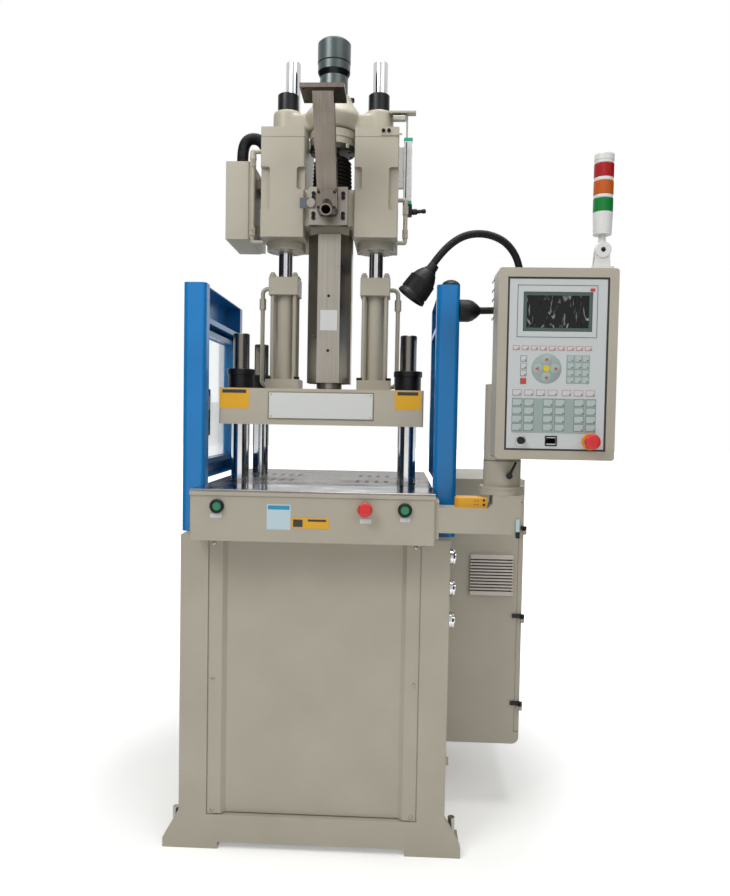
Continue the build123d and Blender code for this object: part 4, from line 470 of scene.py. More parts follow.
# Injection blocks: cast, planed and enamelled, each under a bolted cover on a thin dark gasket.
# Two black push-in fittings and a small steel strip sit on the right cover's front.
gasket_dark = grained("gasket_fibre_dark", "#6E6A5C", 0.6)
block_inner, block_outer, block_front, block_back, block_top = 78, 216, -115, 150, 2124
for side, low_x, high_x in (("left", -block_outer, -block_inner), ("right", block_inner, block_outer)):
    low, high = (low_x - 0.4, block_front - 0.4, block_top), (high_x + 0.4, block_back + 0.4, block_top + 1.2)
    block(f"cover_gasket_{side}", low, high, gasket_dark, unit, bevel=0.2, segments=1)
push_in = [(0, 5.6), (3, 5.6), (3.4, 4.8), (7, 4.8), (8, 4), (8, 2.6), (3, 2.4), (3, 0.4)]
port_place = (167, block_front, 2143)
repeat(turned("push_in_fittings", push_in, port_place, FRONT, nylon, unit, 24), [(17, 0, 0)])
block("fitting_strip", (160, block_front - 2.5, 2129), (225, block_front, 2135), enamelled, unit, 0.4)

# Hard pipes beside the blocks: bent steel tube with flared ends and union nuts, enamelled with the blocks.
# Each runs down the block's side from one port to another.


def route(name, points, order, fineness):
    """A smooth line led by a row of points in millimetres."""
    curve = bpy.data.curves.new(name, "CURVE")
    curve.dimensions = "3D"
    curve.resolution_u = fineness
    line = curve.splines.new("NURBS")
    line.points.add(len(points) - 1)
    for spot, place in zip(line.points, points):
        spot.co = (*(Vector(place) * MM), 1)
    line.use_endpoint_u = True
    line.order_u = order
    piece = bpy.data.objects.new(name, curve)
    bpy.context.scene.collection.objects.link(piece)
    return piece


def piped(name, points, radius, look, body):
    """A tube with soft bends that follows a row of points in millimetres."""
    piece = pick(route(name, points, order=3, fineness=10))
    piece.data.bevel_depth = radius * MM
    piece.data.bevel_resolution = 4
    piece.data.use_fill_caps = True
    bpy.ops.object.convert(target="MESH")
    bpy.ops.object.mode_set(mode="EDIT")
    welded()
    return settle(bpy.context.active_object, name, look, body, smooth=50)


pipe_y, pipe_radius, left_x, right_x = -70, 7, -248, 240
left_run = [(-210, 2092), (-240, 2092), (left_x, 2092), (left_x, 2080), (left_x, 1960), (left_x, 1820)]
left_run += [(left_x, 1806), (-240, 1806), (-210, 1806)]
right_run = [(212, 1942), (232, 1942), (right_x, 1942), (right_x, 1932), (right_x, 1880), (right_x, 1820)]
right_run += [(right_x, 1808), (232, 1808), (212, 1808)]
pieces = []
for name, run in (("block_pipe_left", left_run), ("block_pipe_right", right_run)):
    points = [(x, pipe_y, z) for x, z in run]
    pieces.append(piped(name, points, pipe_radius, enamelled, unit))
union = [(0, 8), (1, 10.5), (14, 10.5), (15, 9.4), (16, 9.4), (17, 10.5), (27, 10.5), (28, 8)]
for x, z in ((left_x, 2044), (left_x, 1826), (right_x, 1896), (right_x, 1822)):
    pieces.append(turned("union", union, (x, pipe_y, z), UP, beige_enamel, unit, 6, smooth=20))
flare = [(0, 7), (4, 11), (30, 9), (34, 6)]
pieces.append(turned("cone", flare, (left_x, pipe_y, 2064), UP, beige_enamel, unit))
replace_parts(join("block_pipes_dressed", pieces), "block_pipes")

# Beam: one casting that ties both rod ends to the drive, with soft fillets and a cone up to the motor.
# Cast iron, fettled and enamelled: the parts are merged into one skin and smoothed as a fillet would be.
lobe = [(2168, 46), (2170, 48), (2234, 48), (2238, 45), (2238, 10)]
hub = [(2174, 76), (2176, 80), (2196, 92), (2214, 98), (2228, 92), (2246, 78), (2262, 66), (2276, 60)]
hub += [(2288, 58), (2290, 20)]
cast = [turned("beam", hub, (0, 0, 0), UP, beige_enamel, "beam", sides=64)]
for x in (-rod_x, rod_x):
    cast.append(turned("lobe", lobe, (x, 0, 0), UP, beige_enamel, "beam", sides=48))
cast.append(block("saddle", (-rod_x, -46, 2172), (rod_x, 46, 2224), beige_enamel, "beam", 8, segments=3))
beam = pick(join("beam_casting", cast))
merge = beam.modifiers.new("merge", "REMESH")
merge.mode = "VOXEL"
merge.voxel_size = 3.5 * MM
fillet = beam.modifiers.new("fillet", "SMOOTH")
fillet.factor = 0.5
fillet.iterations = 14
for modifier in ("merge", "fillet"):
    bpy.ops.object.modifier_apply(modifier=modifier)
bpy.ops.object.shade_smooth()
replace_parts(beam, "injection_beam")
socket_head = [(0, 8), (11, 8), (12, 7), (12, 4.6), (7, 4.2), (7, 0.4)]
bolt = turned("hub_bolts", socket_head, (60, 0, 2276), UP, blackened, "beam", 24)
repeat(bolt, [(-120, 0, 0), (-60, 60, 0), (-60, -60, 0)])

# Injection rods and their nuts: ground chromed rods that end in the beam, held by round blackened lock nuts.
# The nuts stand on the beam's lobes and are chamfered at both ends.
rod_steel = zoned("injection_rod_steel", chrome, ("#1B1C1E", 0.36, 0.6), 2237)
paint(rod_steel, "injection_rods")
lock_nut = [(-14, 31), (-13, 34.2), (44, 34.2), (46.5, 31.5), (46.5, 24), (43, 23), (43, 1)]
repeat(turned("rod_lock_nuts", lock_nut, (-rod_x, 0, 2250), UP, blackened, "beam", 48), [(2 * rod_x, 0, 0)])

# Bearing housing: a turned casting under the beam that carries the screw's bearings, with a black seal below.
# Eight bolts come up round its lower edge.
seal = (2125, "#1C1C1B")
paint(sprayed("housing_enamel", enamel_light, enamel_dark, enamel_gloss, above=seal), "bearing_housing")
bolt_head = [(0, 3), (0.4, 7.2), (8, 7.6), (13, 7.6), (14, 6)]
circled(turned("housing_bolts", bolt_head, (70, 0, 2111), UP, enamelled, "beam", 12), 8)

# Screw boot: a pleated rubber cup on the throat keeps granulate dust off the screw.
# Moulded black rubber, dull, with soft pleats.
rubber = grained("moulded_black_rubber", "#101010", 0.55, specular=0.3)
boot_foot, pleat_pitch, pleat_count = 1965, 12, 10
pleats = [(boot_foot, 60)]
for pleat in range(pleat_count):
    foot, narrow = boot_foot + pleat_pitch * pleat, pleat / 2
    pleats += [(foot + 4, 66 - narrow), (foot + 10, 59 - narrow)]
pleats += [(2090, 52), (2090, 30), (2076, 30), (2076, 14)]
turned("screw_boot", pleats, (0, 0, 0), UP, (rubber, "black_plastic"), unit, 48)

# Motor: a hydraulic motor, cast iron under wrinkled dark grey enamel, near black below 2368 mm at its foot.
# The enamel has a metallic sheen and wrinkles a few millimetres wide.
wrinkle, wrinkle_depth, motor_foot = 5 * MM, 0.12 * MM, (2368, "#15191A")
motor = ("motor_enamel_dark_grey", "#505858", "#424A4A", 0.34)
paint(sprayed(*motor, wrinkle, wrinkle_depth, 0.55, motor_foot), "screw_motor")
neck_sleeve = [(2291, 44), (2291, 45.6), (2350, 45.6), (2351, 44), (2291, 44)]
neck_grey = sprayed("motor_neck_grey", "#5C6362", "#4E5554", 0.3, metallic=0.6)
turned("motor_neck_sleeve", neck_sleeve, (0, 0, 0), UP, (neck_grey, "grey_enamel"), "beam", 64)

# Feed throat and chute: a warm stainless plate and a square chute folded from sheet, both brushed.
# The brushing is finer than the render shows, so it is drawn 2.4 mm apart and faint.
feed_stainless = ground("brushed_feed_stainless", "#756D65", "#6A635B", 0.33, 0, 2, 2.4 * MM, 400 * MM)
plate_stainless = ground("brushed_plate_stainless", "#9A938A", "#8F887F", 0.36, 0, 2, 2.4 * MM, 400 * MM)
paint(feed_stainless, "feed_chute")
paint(plate_stainless, "feed_plate")
cap_screw = [(0, 6.4), (5.4, 6.4), (6, 5.6), (6, 3.4), (3, 3.2), (3, 0.3)]
slot_x, slot_z, slot_run, plate_middle, plate_face = 46, 31, 13, 1907, corners("feed_plate")[0].y
first = (-slot_x, plate_face + 1, plate_middle - slot_z - slot_run / 2)
screw = turned("plate_screws", cap_screw, first, FRONT, blackened, unit, 20)
rises = (0, slot_run, 2 * slot_z, 2 * slot_z + slot_run)
repeat(screw, [(x, 0, z) for x in (0, 2 * slot_x) for z in rises][1:])
small_screw = [(0, 4.2), (3, 4.2), (3.4, 3.6), (3.4, 2), (1, 1.9), (1, 0.2)]
screw = turned("inlet_screws", small_screw, (-24, -192, 1885), FRONT, blackened, unit, 16)
repeat(screw, [(48, 0, 0), (0, 0, 46), (48, 0, 46)])
tab_steel = ground("slide_tab_steel", "#5E6266", "#55595D", 0.45, across=2, along=0)
tab_face = plate_face - 3
low, high = (-89, tab_face, 1899), (-40, plate_face, 1931)
block("slide_tab", low, high, (tab_steel, "brushed_steel"), unit, 0.4)
disc = [(0, 14), (1.6, 14), (2.2, 13.2), (2.2, 0.5)]
turned("slide_disc", disc, (-54, tab_face, 1915), FRONT, (plate_stainless, "brushed_steel"), unit, 48)

# Heater cover: folded brushed stainless round the barrel's heater bands, screwed through two dimples.
# Brushing shows as soft upright streaks, and a pale square of film sits below the upper dimple.
cover_stainless = ground("brushed_cover_stainless", "#A29D93", "#958F86", 0.3, 0, 2, 2 * MM, 500 * MM)
paint(cover_stainless, "heater_cover", "barrel", "screw")
heater_face, dimple_high, dimple_drop = corners("heater_cover")[0].y, 1639, -174
dimple = [(0, 17), (0.7, 17), (0.7, 14), (0.2, 8), (0.2, 0.5)]
dimple_screw = [(0, 4.6), (2, 4.6), (2.6, 3.4), (2.6, 0.3)]
for name, profile, sunk, look, sides in (
    ("cover_dimples", dimple, 0, (cover_stainless, "brushed_steel"), 48),
    ("dimple_screws", dimple_screw, 0.2, blackened, 20),
):
    place = (0, heater_face - sunk, dimple_high)
    upper = turned(name, profile, place, FRONT, look, unit, sides)
    repeat(upper, [(0, 0, dimple_drop)])
block("heater_field", (-26, heater_face - 0.5, 1529), (28, heater_face, 1594), film_white, unit, bevel=0.15)

# Stroke sensor: a pale extruded aluminium rail with teal end caps, and a black plug with a gland below it.
# Satin anodising gives the rail a soft even sheen.
sensor_alloy = grained("anodised_sensor_rail", "#D3D5D3", 0.3, metallic=0.3)
teal_plastic = grained("teal_moulded_cap", "#12A082", 0.36)
rail = block("sensor_rail", (232, -44, 1948), (258, -16, 2138), (sensor_alloy, "panel_grey"), unit, 1.2)
# Painted shade: a black strip along the rail's front stands for the shade in its groove.
rail_groove_painted_shade = block("rail_groove_painted_shade", (238, -45, 1952), (241, -43, 2134), print_seal_and_shade_black, unit, 0.2)
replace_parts(join("sensor_rail", [rail, rail_groove_painted_shade]), "stroke_sensor")
block("sensor_foot", (214, -38, 1990), (233, -22, 2120), (sensor_alloy, "panel_grey"), unit, 0.8)
cap = block("sensor_caps", (231, -45, 2137), (259, -15, 2148), (teal_plastic, "green_plastic"), unit, 1.6)
repeat(cap, [(0, 0, -200)])
block("sensor_plug", (233, -44, 1902), (261, -16, 1938), nylon, unit, 2.0)
gland = [(0, 8), (3, 9.4), (16, 9.4), (18, 6.4), (32, 5.4), (33, 7), (44, 7), (46, 4), (46, 0.5)]
turned("sensor_gland", gland, (260, -30, 1916), (1, 0, 0.08), nylon, unit, 24)
roller = [(0, 10), (1.5, 12), (40, 12), (42, 10), (42, 1)]
turned("sensor_roller", roller, (194, -30, 2214), RIGHT, plated, "beam", 32)

# Junction box and conduit: a folded sheet box on the left block, and the corrugated sleeve of its wires.
# The sleeve is black nylon tube, its corrugations formed 5.5 mm apart, in a screwed gland on the box.


def corrugated(name, points, radius, pitch, look, body, sides=20):
    """One turned corrugation, repeated by an array and led by a curve along a row of points."""
    line = route(name + "_line", points, order=4, fineness=16)
    valley, count = 0.88, round(line.data.splines[0].calc_length() / (pitch * MM))
    bpy.ops.mesh.primitive_circle_add(vertices=sides, radius=radius * valley * MM, fill_type="NOTHING")
    piece = bpy.context.active_object
    bpy.ops.object.mode_set(mode="EDIT")
    bpy.ops.mesh.select_all(action="SELECT")
    for height, grow in ((0.25, 1 / valley), (0.45, 1), (0.3, valley)):
        bpy.ops.mesh.extrude_region_move(TRANSFORM_OT_translate={"value": (0, 0, height * pitch * MM)})
        bpy.ops.transform.resize(value=(grow, grow, 1), center_override=(0, 0, 0))
    bpy.ops.object.mode_set(mode="OBJECT")
    array = piece.modifiers.new("array", "ARRAY")
    array.count = count
    array.use_relative_offset = False
    array.use_constant_offset = True
    array.constant_offset_displace = (0, 0, pitch * MM)
    array.use_merge_vertices = True
    array.merge_threshold = 0.05 * MM
    bend = piece.modifiers.new("bend", "CURVE")
    bend.object = line
    bend.deform_axis = "POS_Z"
    for modifier in ("array", "bend"):
        bpy.ops.object.modifier_apply(modifier=modifier)
    bpy.ops.object.mode_set(mode="EDIT")
    bpy.ops.mesh.select_all(action="SELECT")
    bpy.ops.mesh.fill_holes(sides=0)
    welded()
    bpy.data.objects.remove(line)
    return settle(piece, name, look, body, smooth=60)


run = [(-304, 2068), (-305, 2104), (-305, 2160), (-270, 2179), (-233, 2164), (-216, 2114)]
sleeve_line = [(x, 40, z) for x, z in run]
sleeve = corrugated("conduit_sleeve", sleeve_line, 19, 5.5, nylon, unit, 24)
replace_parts(sleeve, "conduit")
gland = [(0, 19), (1, 21), (10, 21), (11, 19), (18, 18.4), (18, 12)]
turned("conduit_gland", gland, (-304, 40, 2066), UP, nylon, unit, 6)

# Control cabinet: a welded sheet case with a door on two black lift-off hinges and a louvred air vent.
# The vent is pressed steel in pale grey enamel, with a black block of painted shade behind its blades; hinges
# are blackened steel, switch gear is black nylon.
paint(oxide_and_slot_shade, "cabinet_hinges", "clamp_lever")
paint(black_plastic, "control_gear", "panel_knob")
vent_steel = grained("vent_enamel_pale_grey", "#C9BFB8", 0.36)
vent_low, vent_high = corners("cabinet_vent")
slot_count, blade, end_bar = 11, 5.6, 12.8
blade_pitch = (vent_high.z - vent_low.z - 2 * end_bar + blade) / slot_count
low = (vent_low.x + 3, vent_low.y + 8, vent_low.z + 3)
high = (vent_high.x - 3, vent_high.y, vent_high.z - 3)
# Painted shade: the black block behind the blades stands for the dark inside of the cabinet.
louvres = [block("vent", low, high, print_seal_and_shade_black, "base", 0.3, segments=1)]
for low_z in (vent_low.z, vent_high.z - end_bar):
    low, high = (vent_low.x, vent_low.y, low_z), (vent_high.x, vent_high.y, low_z + end_bar)
    louvres.append(block("bar", low, high, vent_steel, "base", 1.2))
for count in range(1, slot_count):
    low_z = vent_low.z + end_bar + count * blade_pitch - blade
    low, high = (vent_low.x, vent_low.y + 0.8, low_z), (vent_high.x, vent_high.y - 2, low_z + blade)
    louvres.append(block("blade", low, high, vent_steel, "base", 1.4))
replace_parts(join("vent_louvres", louvres), "cabinet_vent")

# Water couplings: three quick couplings in the base's right side, each with a knurled ring.
# Turned brass, plated, which gives bright rings; below them a hexagon plug closes the oil drain.
side_x, side_y = 383, -300
drain = [(0, 15), (3, 15), (4, 13), (12, 12), (13, 10), (13, 0.5)]
turned("drain_plug", drain, (side_x, side_y, 246), RIGHT, enamelled, "base", 6)
quick = [(0, 21), (0, 24), (3, 25), (8, 25), (9, 22), (13, 22), (14, 24), (19, 23), (19, 13)]
quick += [(9, 12), (9, 0.5)]
coupling = turned("coupling_rings", quick, (side_x, side_y, 665), RIGHT, (hard_chrome, "chrome"), "base", 40)
repeat(coupling, [(0, 0, 95), (0, 0, 186)])

# Panel arm: a welded box arm with a small latch at its end, and a safety switch on top for the guard.
# The switch is a yellow moulding held by two dark screws beside four small sockets, whose holes are black
# discs of painted shade.
paint(yellow_nylon, "safety_switch")
switch_low, switch_high = corners("safety_switch")
screw_head = [(0, 3.2), (1.4, 3.2), (2, 2.2), (2, 0.3)]
place = (switch_high.x - 10, switch_low.y, switch_low.z + 9)
screw = turned("switch_screws", screw_head, place, FRONT, blackened, "base", 16)
repeat(screw, [(0, 0, 12)])
# Painted shade: the socket holes are black discs standing just proud of the switch.
hole_shade_disc = [(0, 1.6), (0.6, 1.5), (0.6, 0.2)]
place = (switch_high.x - 34, switch_low.y, switch_low.z + 9)
socket = turned("socket_hole_painted_shade", hole_shade_disc, place, FRONT, nylon, "base", 12)
repeat(socket, [(8, 0, 0), (0, 0, 10), (8, 0, 10)])
arm_face = corners("panel_arm")[0].y
block("arm_latch", (550, arm_face - 4, 952), (560, arm_face, 986), (film_pale, "white_plastic"), "base", 1.2)
block("arm_latch_foot", (550, arm_face - 5, 935), (561, arm_face, 952), nylon, "base", 1.2)

# Pillar: a turned foot under the swivel head, bolted to the arm's flange and locked by a lever with a ball.
# Six socket screws hold the flange down, and a fine dark joint shows under the head.
pillar_x, pillar_y, flange_top = 518, -400, 1061
flange_screw = [(0, 6), (4.4, 6), (5, 5.2), (5, 3), (2, 2.8), (2, 0.3)]
place = (pillar_x, pillar_y - 54, flange_top)
screw = turned("flange_screws", flange_screw, place, UP, blackened, "base", 20)
repeat(screw, [(-54, 54, 0), (54, 54, 0), (0, 108, 0), (-38, 16, 0), (38, 16, 0)])
joint = [(0, 50.2), (0, 51.2), (3, 51.2), (3, 50.2), (0, 50.2)]
turned("pillar_joint", joint, (pillar_x, pillar_y, 1140), UP, (gasket_dark, "beige_enamel"), "base", 64)

# Work lamp: a black foot bell on the right guard post, a corrugated gooseneck and a ribbed lamp head.
# Moulded nylon over a steel gooseneck: dull black, with a soft sheen on the corrugations.
bell = [(0, 30), (1, 32), (26, 32), (38, 28.5), (50, 20), (57, 12.5), (60, 10.5), (60, 1)]
turned("lamp_foot", bell, (400, -286, 1566), RIGHT, nylon, "base", 48)
neck_line = [(458, -286, 1567), (490, -286, 1567), (536, -290, 1568), (566, -304, 1592), (570, -326, 1640)]
neck_line += [(560, -345, 1684), (548, -352, 1712), (531, -360, 1733), (510, -370, 1749), (478, -382, 1760)]
neck_line += [(444, -392, 1763), (406, -404, 1756), (372, -412, 1737), (340, -417, 1706), (318, -420, 1676)]
neck_line += [(310, -420, 1662)]
neck = corrugated("lamp_neck", neck_line, 10.4, 4.6, nylon, "base")
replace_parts(neck, "work_lamp")
aim = Vector((-62, 0, -87)).normalized()
head_place = Vector((318, -420, 1668)) - aim * 4
head = [(0, 11), (1, 13.4), (6, 14.4), (18, 14.8), (19, 17.5), (24, 18.6), (26, 22), (40, 30), (50, 33.4)]
head += [(53, 34.4), (56, 35.4), (98, 37.6), (102, 40.4), (110, 41), (111, 40), (111, 38), (80, 31)]
head += [(70, 20), (70, 1)]
turned("lamp_head", head, head_place, aim, nylon, "base", 64, smooth=24)
rib_low, rib_high, rib_start = (-1.1, 34.6, 0), (1.1, 37.6, 40), head_place + aim * 56
rib = block("lamp_ribs", rib_low, rib_high, nylon, "base", 0.5, 1)
flare_out, flare_run = 2.2, 42
lean = Matrix.Rotation(math.atan2(flare_out, flare_run), 4, "X")
stand = Vector(UP).rotation_difference(aim).to_matrix().to_4x4()
axis = Matrix.Translation(rib_start * MM) @ stand
rib.matrix_world = axis @ lean.inverted()
circled(rib, 40, axis)
lamp_glass = grained("frosted_lamp_glass", "#E4E6E2", 0.4)
pane = [(92, 33.5), (95, 33.5), (96.5, 28), (97, 12), (97, 0.5)]
turned("lamp_glass", pane, head_place, aim, (lamp_glass, "white_plastic"), "base", 48)
dome = [(0, 26), (4, 27), (11, 22), (16, 13), (18, 5), (18, 0.4)]
turned("post_dome", dome, (374, -286, 1636), UP, nylon, "base", 32)

# Panel case: a folded steel case with a pressed front frame, its left side slotted for air.
# The slots are short black strips one above another, in two columns: painted shade where the slots open.
case_low, case_high = corners("panel_case")
low, high = (case_low.x - 0.8, -540, case_high.z - 128), (case_low.x + 0.4, -528, case_high.z - 122)
louvre = block("case_slot_painted_shade", low, high, print_seal_and_shade_black, "panel", 0.4, segments=1)
repeat(louvre, [(0, column, 24 * row) for column in (0, 26) for row in range(5)][1:])

# Panel face: a printed membrane glued over an aluminium plate, inside a black seal.
# Satin polyester film with raised keys, each outlined and with nothing printed on it.
face_film = grained("printed_face_film", "#C6CACA", 0.42, grain=0.5 * MM)
paint(face_film, "panel_face")
face_low, face_high = corners("panel_face")
film_front = face_low.y - 0.6


def outlined(name, outer, width, depth, front, material, bevel=0.2):
    """Four bars on the panel, set into a picture frame round a rectangle given by two corners."""
    left, foot, right, top = outer
    bars = [(left, foot, right, foot + width), (left, top - width, right, top)]
    bars += [(x, foot + width, x + width, top - width) for x in (left, right - width)]
    pieces = []
    for x0, z0, x1, z1 in bars:
        low, high = (x0, front, z0), (x1, front + depth, z1)
        pieces.append(block(name, low, high, material, "panel", bevel, segments=1))
    return join(name, pieces)


outlined("face_seal", (face_low.x, face_low.z, face_high.x, face_high.z), 4.4, 1.2, film_front, print_seal_and_shade_black)

# Screen: a dark glass panel behind the face in a grey-green bezel, still under its crumpled protective film.
# The film lies in long soft creases, given by a bump; the pale upright streaks along them are painted
# highlights in the colour.
screen_glass, screen_shader, place = finish("screen_glass", "#17191A", 0.16)
screen_shader.inputs["Specular IOR Level"].default_value = 0.25
drawn = add(screen_glass, "Mapping", {"Scale": (2.4, 1, 0.8)}, {"Vector": place})
creases = {"Scale": 1 / (36 * MM), "Detail": 2.0, "Distortion": 1.2}
crease = add(screen_glass, "TexNoise", creases, {"Vector": drawn})
fold = add(screen_glass, "Bump", {"Strength": 0.6, "Distance": 2 * MM}, {"Height": crease})
# Painted highlight: the crease pattern turns the base colour pale where light would catch the film.
crease_painted_highlight = blended(screen_glass, crease, 0.58, "#101213", 0.72, "#A6AAAA")
connect(screen_glass, screen_shader, {"Base Color": crease_painted_highlight, "Normal": fold})
paint(screen_glass, "screen")
screen_low, screen_high = corners("screen")
left, foot, right, top = screen_low.x + 5, screen_low.z + 5, screen_high.x - 5, screen_high.z - 5
bezel_green = grained("screen_bezel_grey_green", "#43554F", 0.4)
outline_grey = grained("membrane_outline_grey", "#5C6664", 0.45)
outer = (left - 15, foot - 15, right + 12, top + 17)
outlined("screen_outline", outer, 1.4, 0.6, film_front, outline_grey, bevel=0.1)
outlined("screen_bezel", (left, foot, right, top), 9, 1.2, face_low.y + 1.4, bezel_green, bevel=0.3)
low, high = (right - 7, film_front - 1.4, top + 2), (right + 4, film_front, top + 9)
block("power_lamp", low, high, (red_plastic, "red_plastic"), "panel", 1.0)

# Keys: shallow domes pressed up in the membrane: rows, a number pad, a direction disc and a block of pairs.
# Face-coloured or grey-green, each with its outline and most with a small mark in one corner.
key_field = grained("membrane_field_grey_green", "#96A5A1", 0.45, grain=0.5 * MM)
key_pale = grained("membrane_key_grey_green", "#AFBBB8", 0.4, grain=0.5 * MM)
key_petal = grained("membrane_petal_grey_green", "#9FAEAA", 0.42, grain=0.5 * MM)
outline_dark = grained("membrane_outline_green", "#56645F", 0.45)
outline_red = grained("membrane_outline_red", "#B4615F", 0.45)
key_red = grained("membrane_key_red", "#C43E3A", 0.4)
key_yellow = grained("membrane_key_yellow", "#D6BE2C", 0.4)


def keys(name, columns, rows, width, height, material, outline, corner=None):
    """A grid of raised outlined keys: the first is modelled, and the others are its copies."""
    x, z = columns[0], rows[0]
    left, foot, right, top = x - width / 2, z - height / 2, x + width / 2, z + height / 2
    low, high = (left, film_front - 0.2, foot), (right, face_low.y, top)
    parts = [block(name, low, high, outline, "panel", bevel=0.15, segments=1)]
    low, high = (left + 1, film_front - 0.9, foot + 1), (right - 1, film_front, top - 1)
    parts.append(block("key", low, high, material, "panel", bevel=0.5))
    if corner:
        low, high = (right - 5.5, film_front - 1.0, foot + 2), (right - 2, film_front - 0.6, foot + 5)
        parts.append(block("corner", low, high, corner, "panel", bevel=0.1, segments=1))
    steps = [(column - x, 0, row - z) for column in columns for row in rows]
    return repeat(join(name, parts), steps[1:])


keys("function_keys", [525 + 22.6 * i for i in range(9)], [1436], 17, 11, face_film, outline_red, key_red)
keys("step_keys", [544], [1409, 1390, 1372], 16, 15, face_film, outline_grey, outline_dark)
keys("stop_key", [544], [1352], 15, 15, key_red, outline_grey)
block("number_field", (652, film_front, 1347), (710, face_low.y, 1419), key_field, "panel", bevel=0.2)
number_rows = [1410 - 18 * i for i in range(4)]
keys("number_keys", [662, 681, 700], number_rows, 16.5, 15.5, key_pale, key_field, outline_dark)
mode_columns = [529 + 30 * i for i in range(4)] + [654 + 30 * i for i in range(3)]
keys("mode_keys", mode_columns, [1323], 23, 15, face_film, outline_red, outline_dark)
block("motion_field", (518, film_front, 1221), (729, face_low.y, 1309), key_field, "panel", bevel=0.2)
motion_rows = [1298 - 21 * i for i in range(4)]
keys("motion_keys", [530, 560, 608, 638, 686, 716], motion_rows, 25, 18, key_pale, outline_dark, outline_dark)
centre = Vector((602, face_low.y, 1384))
disc = [(0, 38), (0.3, 38), (1, 36.6), (1, 0.5)]
turned("direction_disc", disc, centre, FRONT, (key_field, "panel_grey"), "panel", 64)
petal = [(0.8, 12.6), (1.4, 12.6), (2, 11.4), (2, 0.4)]
pieces = []
for quarter in range(4):
    angle = quarter * math.pi / 2
    away = Vector((math.cos(angle), 0, math.sin(angle)))
    pieces.append(turned("petal", petal, centre + away * 21.5, FRONT, key_petal, "panel", sides=32))
    arrow = turned("arrow", [(1.8, 5.6), (2.6, 5), (2.6, 0.3)], (0, 0, 0), FRONT, key_red, "panel", sides=3)
    spin = Matrix.Rotation(-angle + math.pi / 2, 4, "Y")
    arrow.matrix_world = Matrix.Translation((centre + away * 23) * MM) @ spin
    pieces.append(arrow)
hub_key = [(0.8, 8.6), (1.6, 8.6), (2.6, 7.4), (2.6, 0.4)]
pieces.append(turned("hub", hub_key, centre, FRONT, key_yellow, "panel"))
pick(join("direction_keys", pieces))
bpy.ops.object.transform_apply()

# Panel foot row: a knob in a plated ring, a framed data socket, and a stop button on a yellow backing.
# The backing is moulded nylon, seen as a thin bright rim round the red head.
outlined("socket_frame", (603, 1188, 633, 1214), 3, 1.6, face_low.y - 1.6, black_plastic, bevel=0.4)
ring = [(0, 9.8), (0, 13), (1.2, 13), (1.9, 11.4), (1.9, 9.8), (0, 9.8)]
turned("knob_ring", ring, (541, face_low.y, 1201), FRONT, plated, "panel", 40)
ring = [(0, 11), (0, 21), (1.2, 22), (3, 21), (3, 11), (0, 11)]
turned("stop_backing", ring, (717, face_low.y, 1201), FRONT, (yellow_nylon, "yellow_plastic"), "panel", 48)

# Signal tower: three ribbed lenses in coloured polycarbonate, each under a white ring, on a folding pole.
# Upright ribs inside each wall scatter the light into fine lines; the white parts are moulded ABS.


def drum(low, high, radius, ease):
    """The wall of an open drum from one height to another, both of its outer edges eased."""
    inner, rim = 17, radius - 1
    outside = [(low, rim), (low + ease, radius), (high - ease, radius), (high, rim)]
    return [(low, inner), *outside, (high, inner), (low, inner)]


white_abs = grained("white_moulded_abs", "#DEDEDB", 0.36)
moulded = (white_abs, "white_plastic")
paint(white_abs, "tower_clevis", "tower_pole")
lens_low, lens_high = corners("tower_lenses")
middle_x, middle_y = (lens_low.x + lens_high.x) / 2, (lens_low.y + lens_high.y) / 2
lens_radius, lens_height = (lens_high.x - lens_low.x) / 2, (lens_high.z - lens_low.z) / 3
ring_height, rib_count, joint_gap = 9, 48, 0.2
for count, (name, colour) in enumerate((("green", "#007D32"), ("amber", "#C2580F"), ("red", "#A80812"))):
    tint, tint_shader, place = finish(f"polycarbonate_{name}", colour, 0.28)
    tint_shader.inputs["IOR"].default_value = 1.58
    tint_shader.inputs["Specular IOR Level"].default_value = 0.25
    centre = [-middle_x * MM, -middle_y * MM, 0]
    moved = add(tint, "Mapping", {"Location": centre}, {"Vector": place})
    around = add(tint, "TexGradient", links={"Vector": moved}, gradient_type="RADIAL")
    waves, links = {1: rib_count * 2 * math.pi}, {0: around.outputs["Fac"]}
    turns = add(tint, "Math", waves, links, operation="MULTIPLY")
    ribs = add(tint, "Math", links={0: turns}, operation="SINE")
    bump = add(tint, "Bump", {"Strength": 0.5, "Distance": 0.4 * MM}, {"Height": ribs})
    connect(tint, tint_shader, {"Normal": bump})
    foot = (middle_x, middle_y, lens_low.z + count * lens_height)
    seam = lens_height - ring_height
    wall = drum(joint_gap, seam, lens_radius, 1.4)
    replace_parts(turned(f"lens_{name}", wall, foot, UP, (tint, "lens_plastic"), "tower", 64), "tower_lenses")
    wall = drum(seam, lens_height + joint_gap, lens_radius - 0.6, 1)
    turned(f"lens_ring_{name}", wall, foot, UP, moulded, "tower", 64)
pin_x, pin_z = 744, 1692
knuckle = [(0, 19), (1.4, 21), (10, 21), (11.4, 19), (11.4, 6.6), (10, 6), (10, 0.4)]
turned("clevis_knuckle", knuckle, (pin_x, -516, pin_z), FRONT, moulded, "panel", 40)
pin = [(0, 5.6), (1.6, 5.4), (2.2, 4), (2.2, 0.3)]
turned("clevis_screw", pin, (pin_x, -526, pin_z), FRONT, blackened, "panel", 20)

# Floor and light: a plain pale floor that fades to white away from the machine and keeps its shadow.
# The room is white to the eye, to polished metal and through clear sheet, and three soft lamps hang over it.
bpy.ops.mesh.primitive_plane_add(size=60, location=(0, 0, 0))
floor = bpy.context.active_object
floor.name = "floor"


def seen_rays(material):
    """One for rays from the camera, from polished metal or through glass, and nought for others."""
    path = add(material, "LightPath").outputs
    seen = path["Is Camera Ray"]
    for kind in ("Is Glossy Ray", "Is Transmission Ray"):
        seen = add(material, "Math", links={0: seen, 1: path[kind]}, operation="MAXIMUM")
    return seen


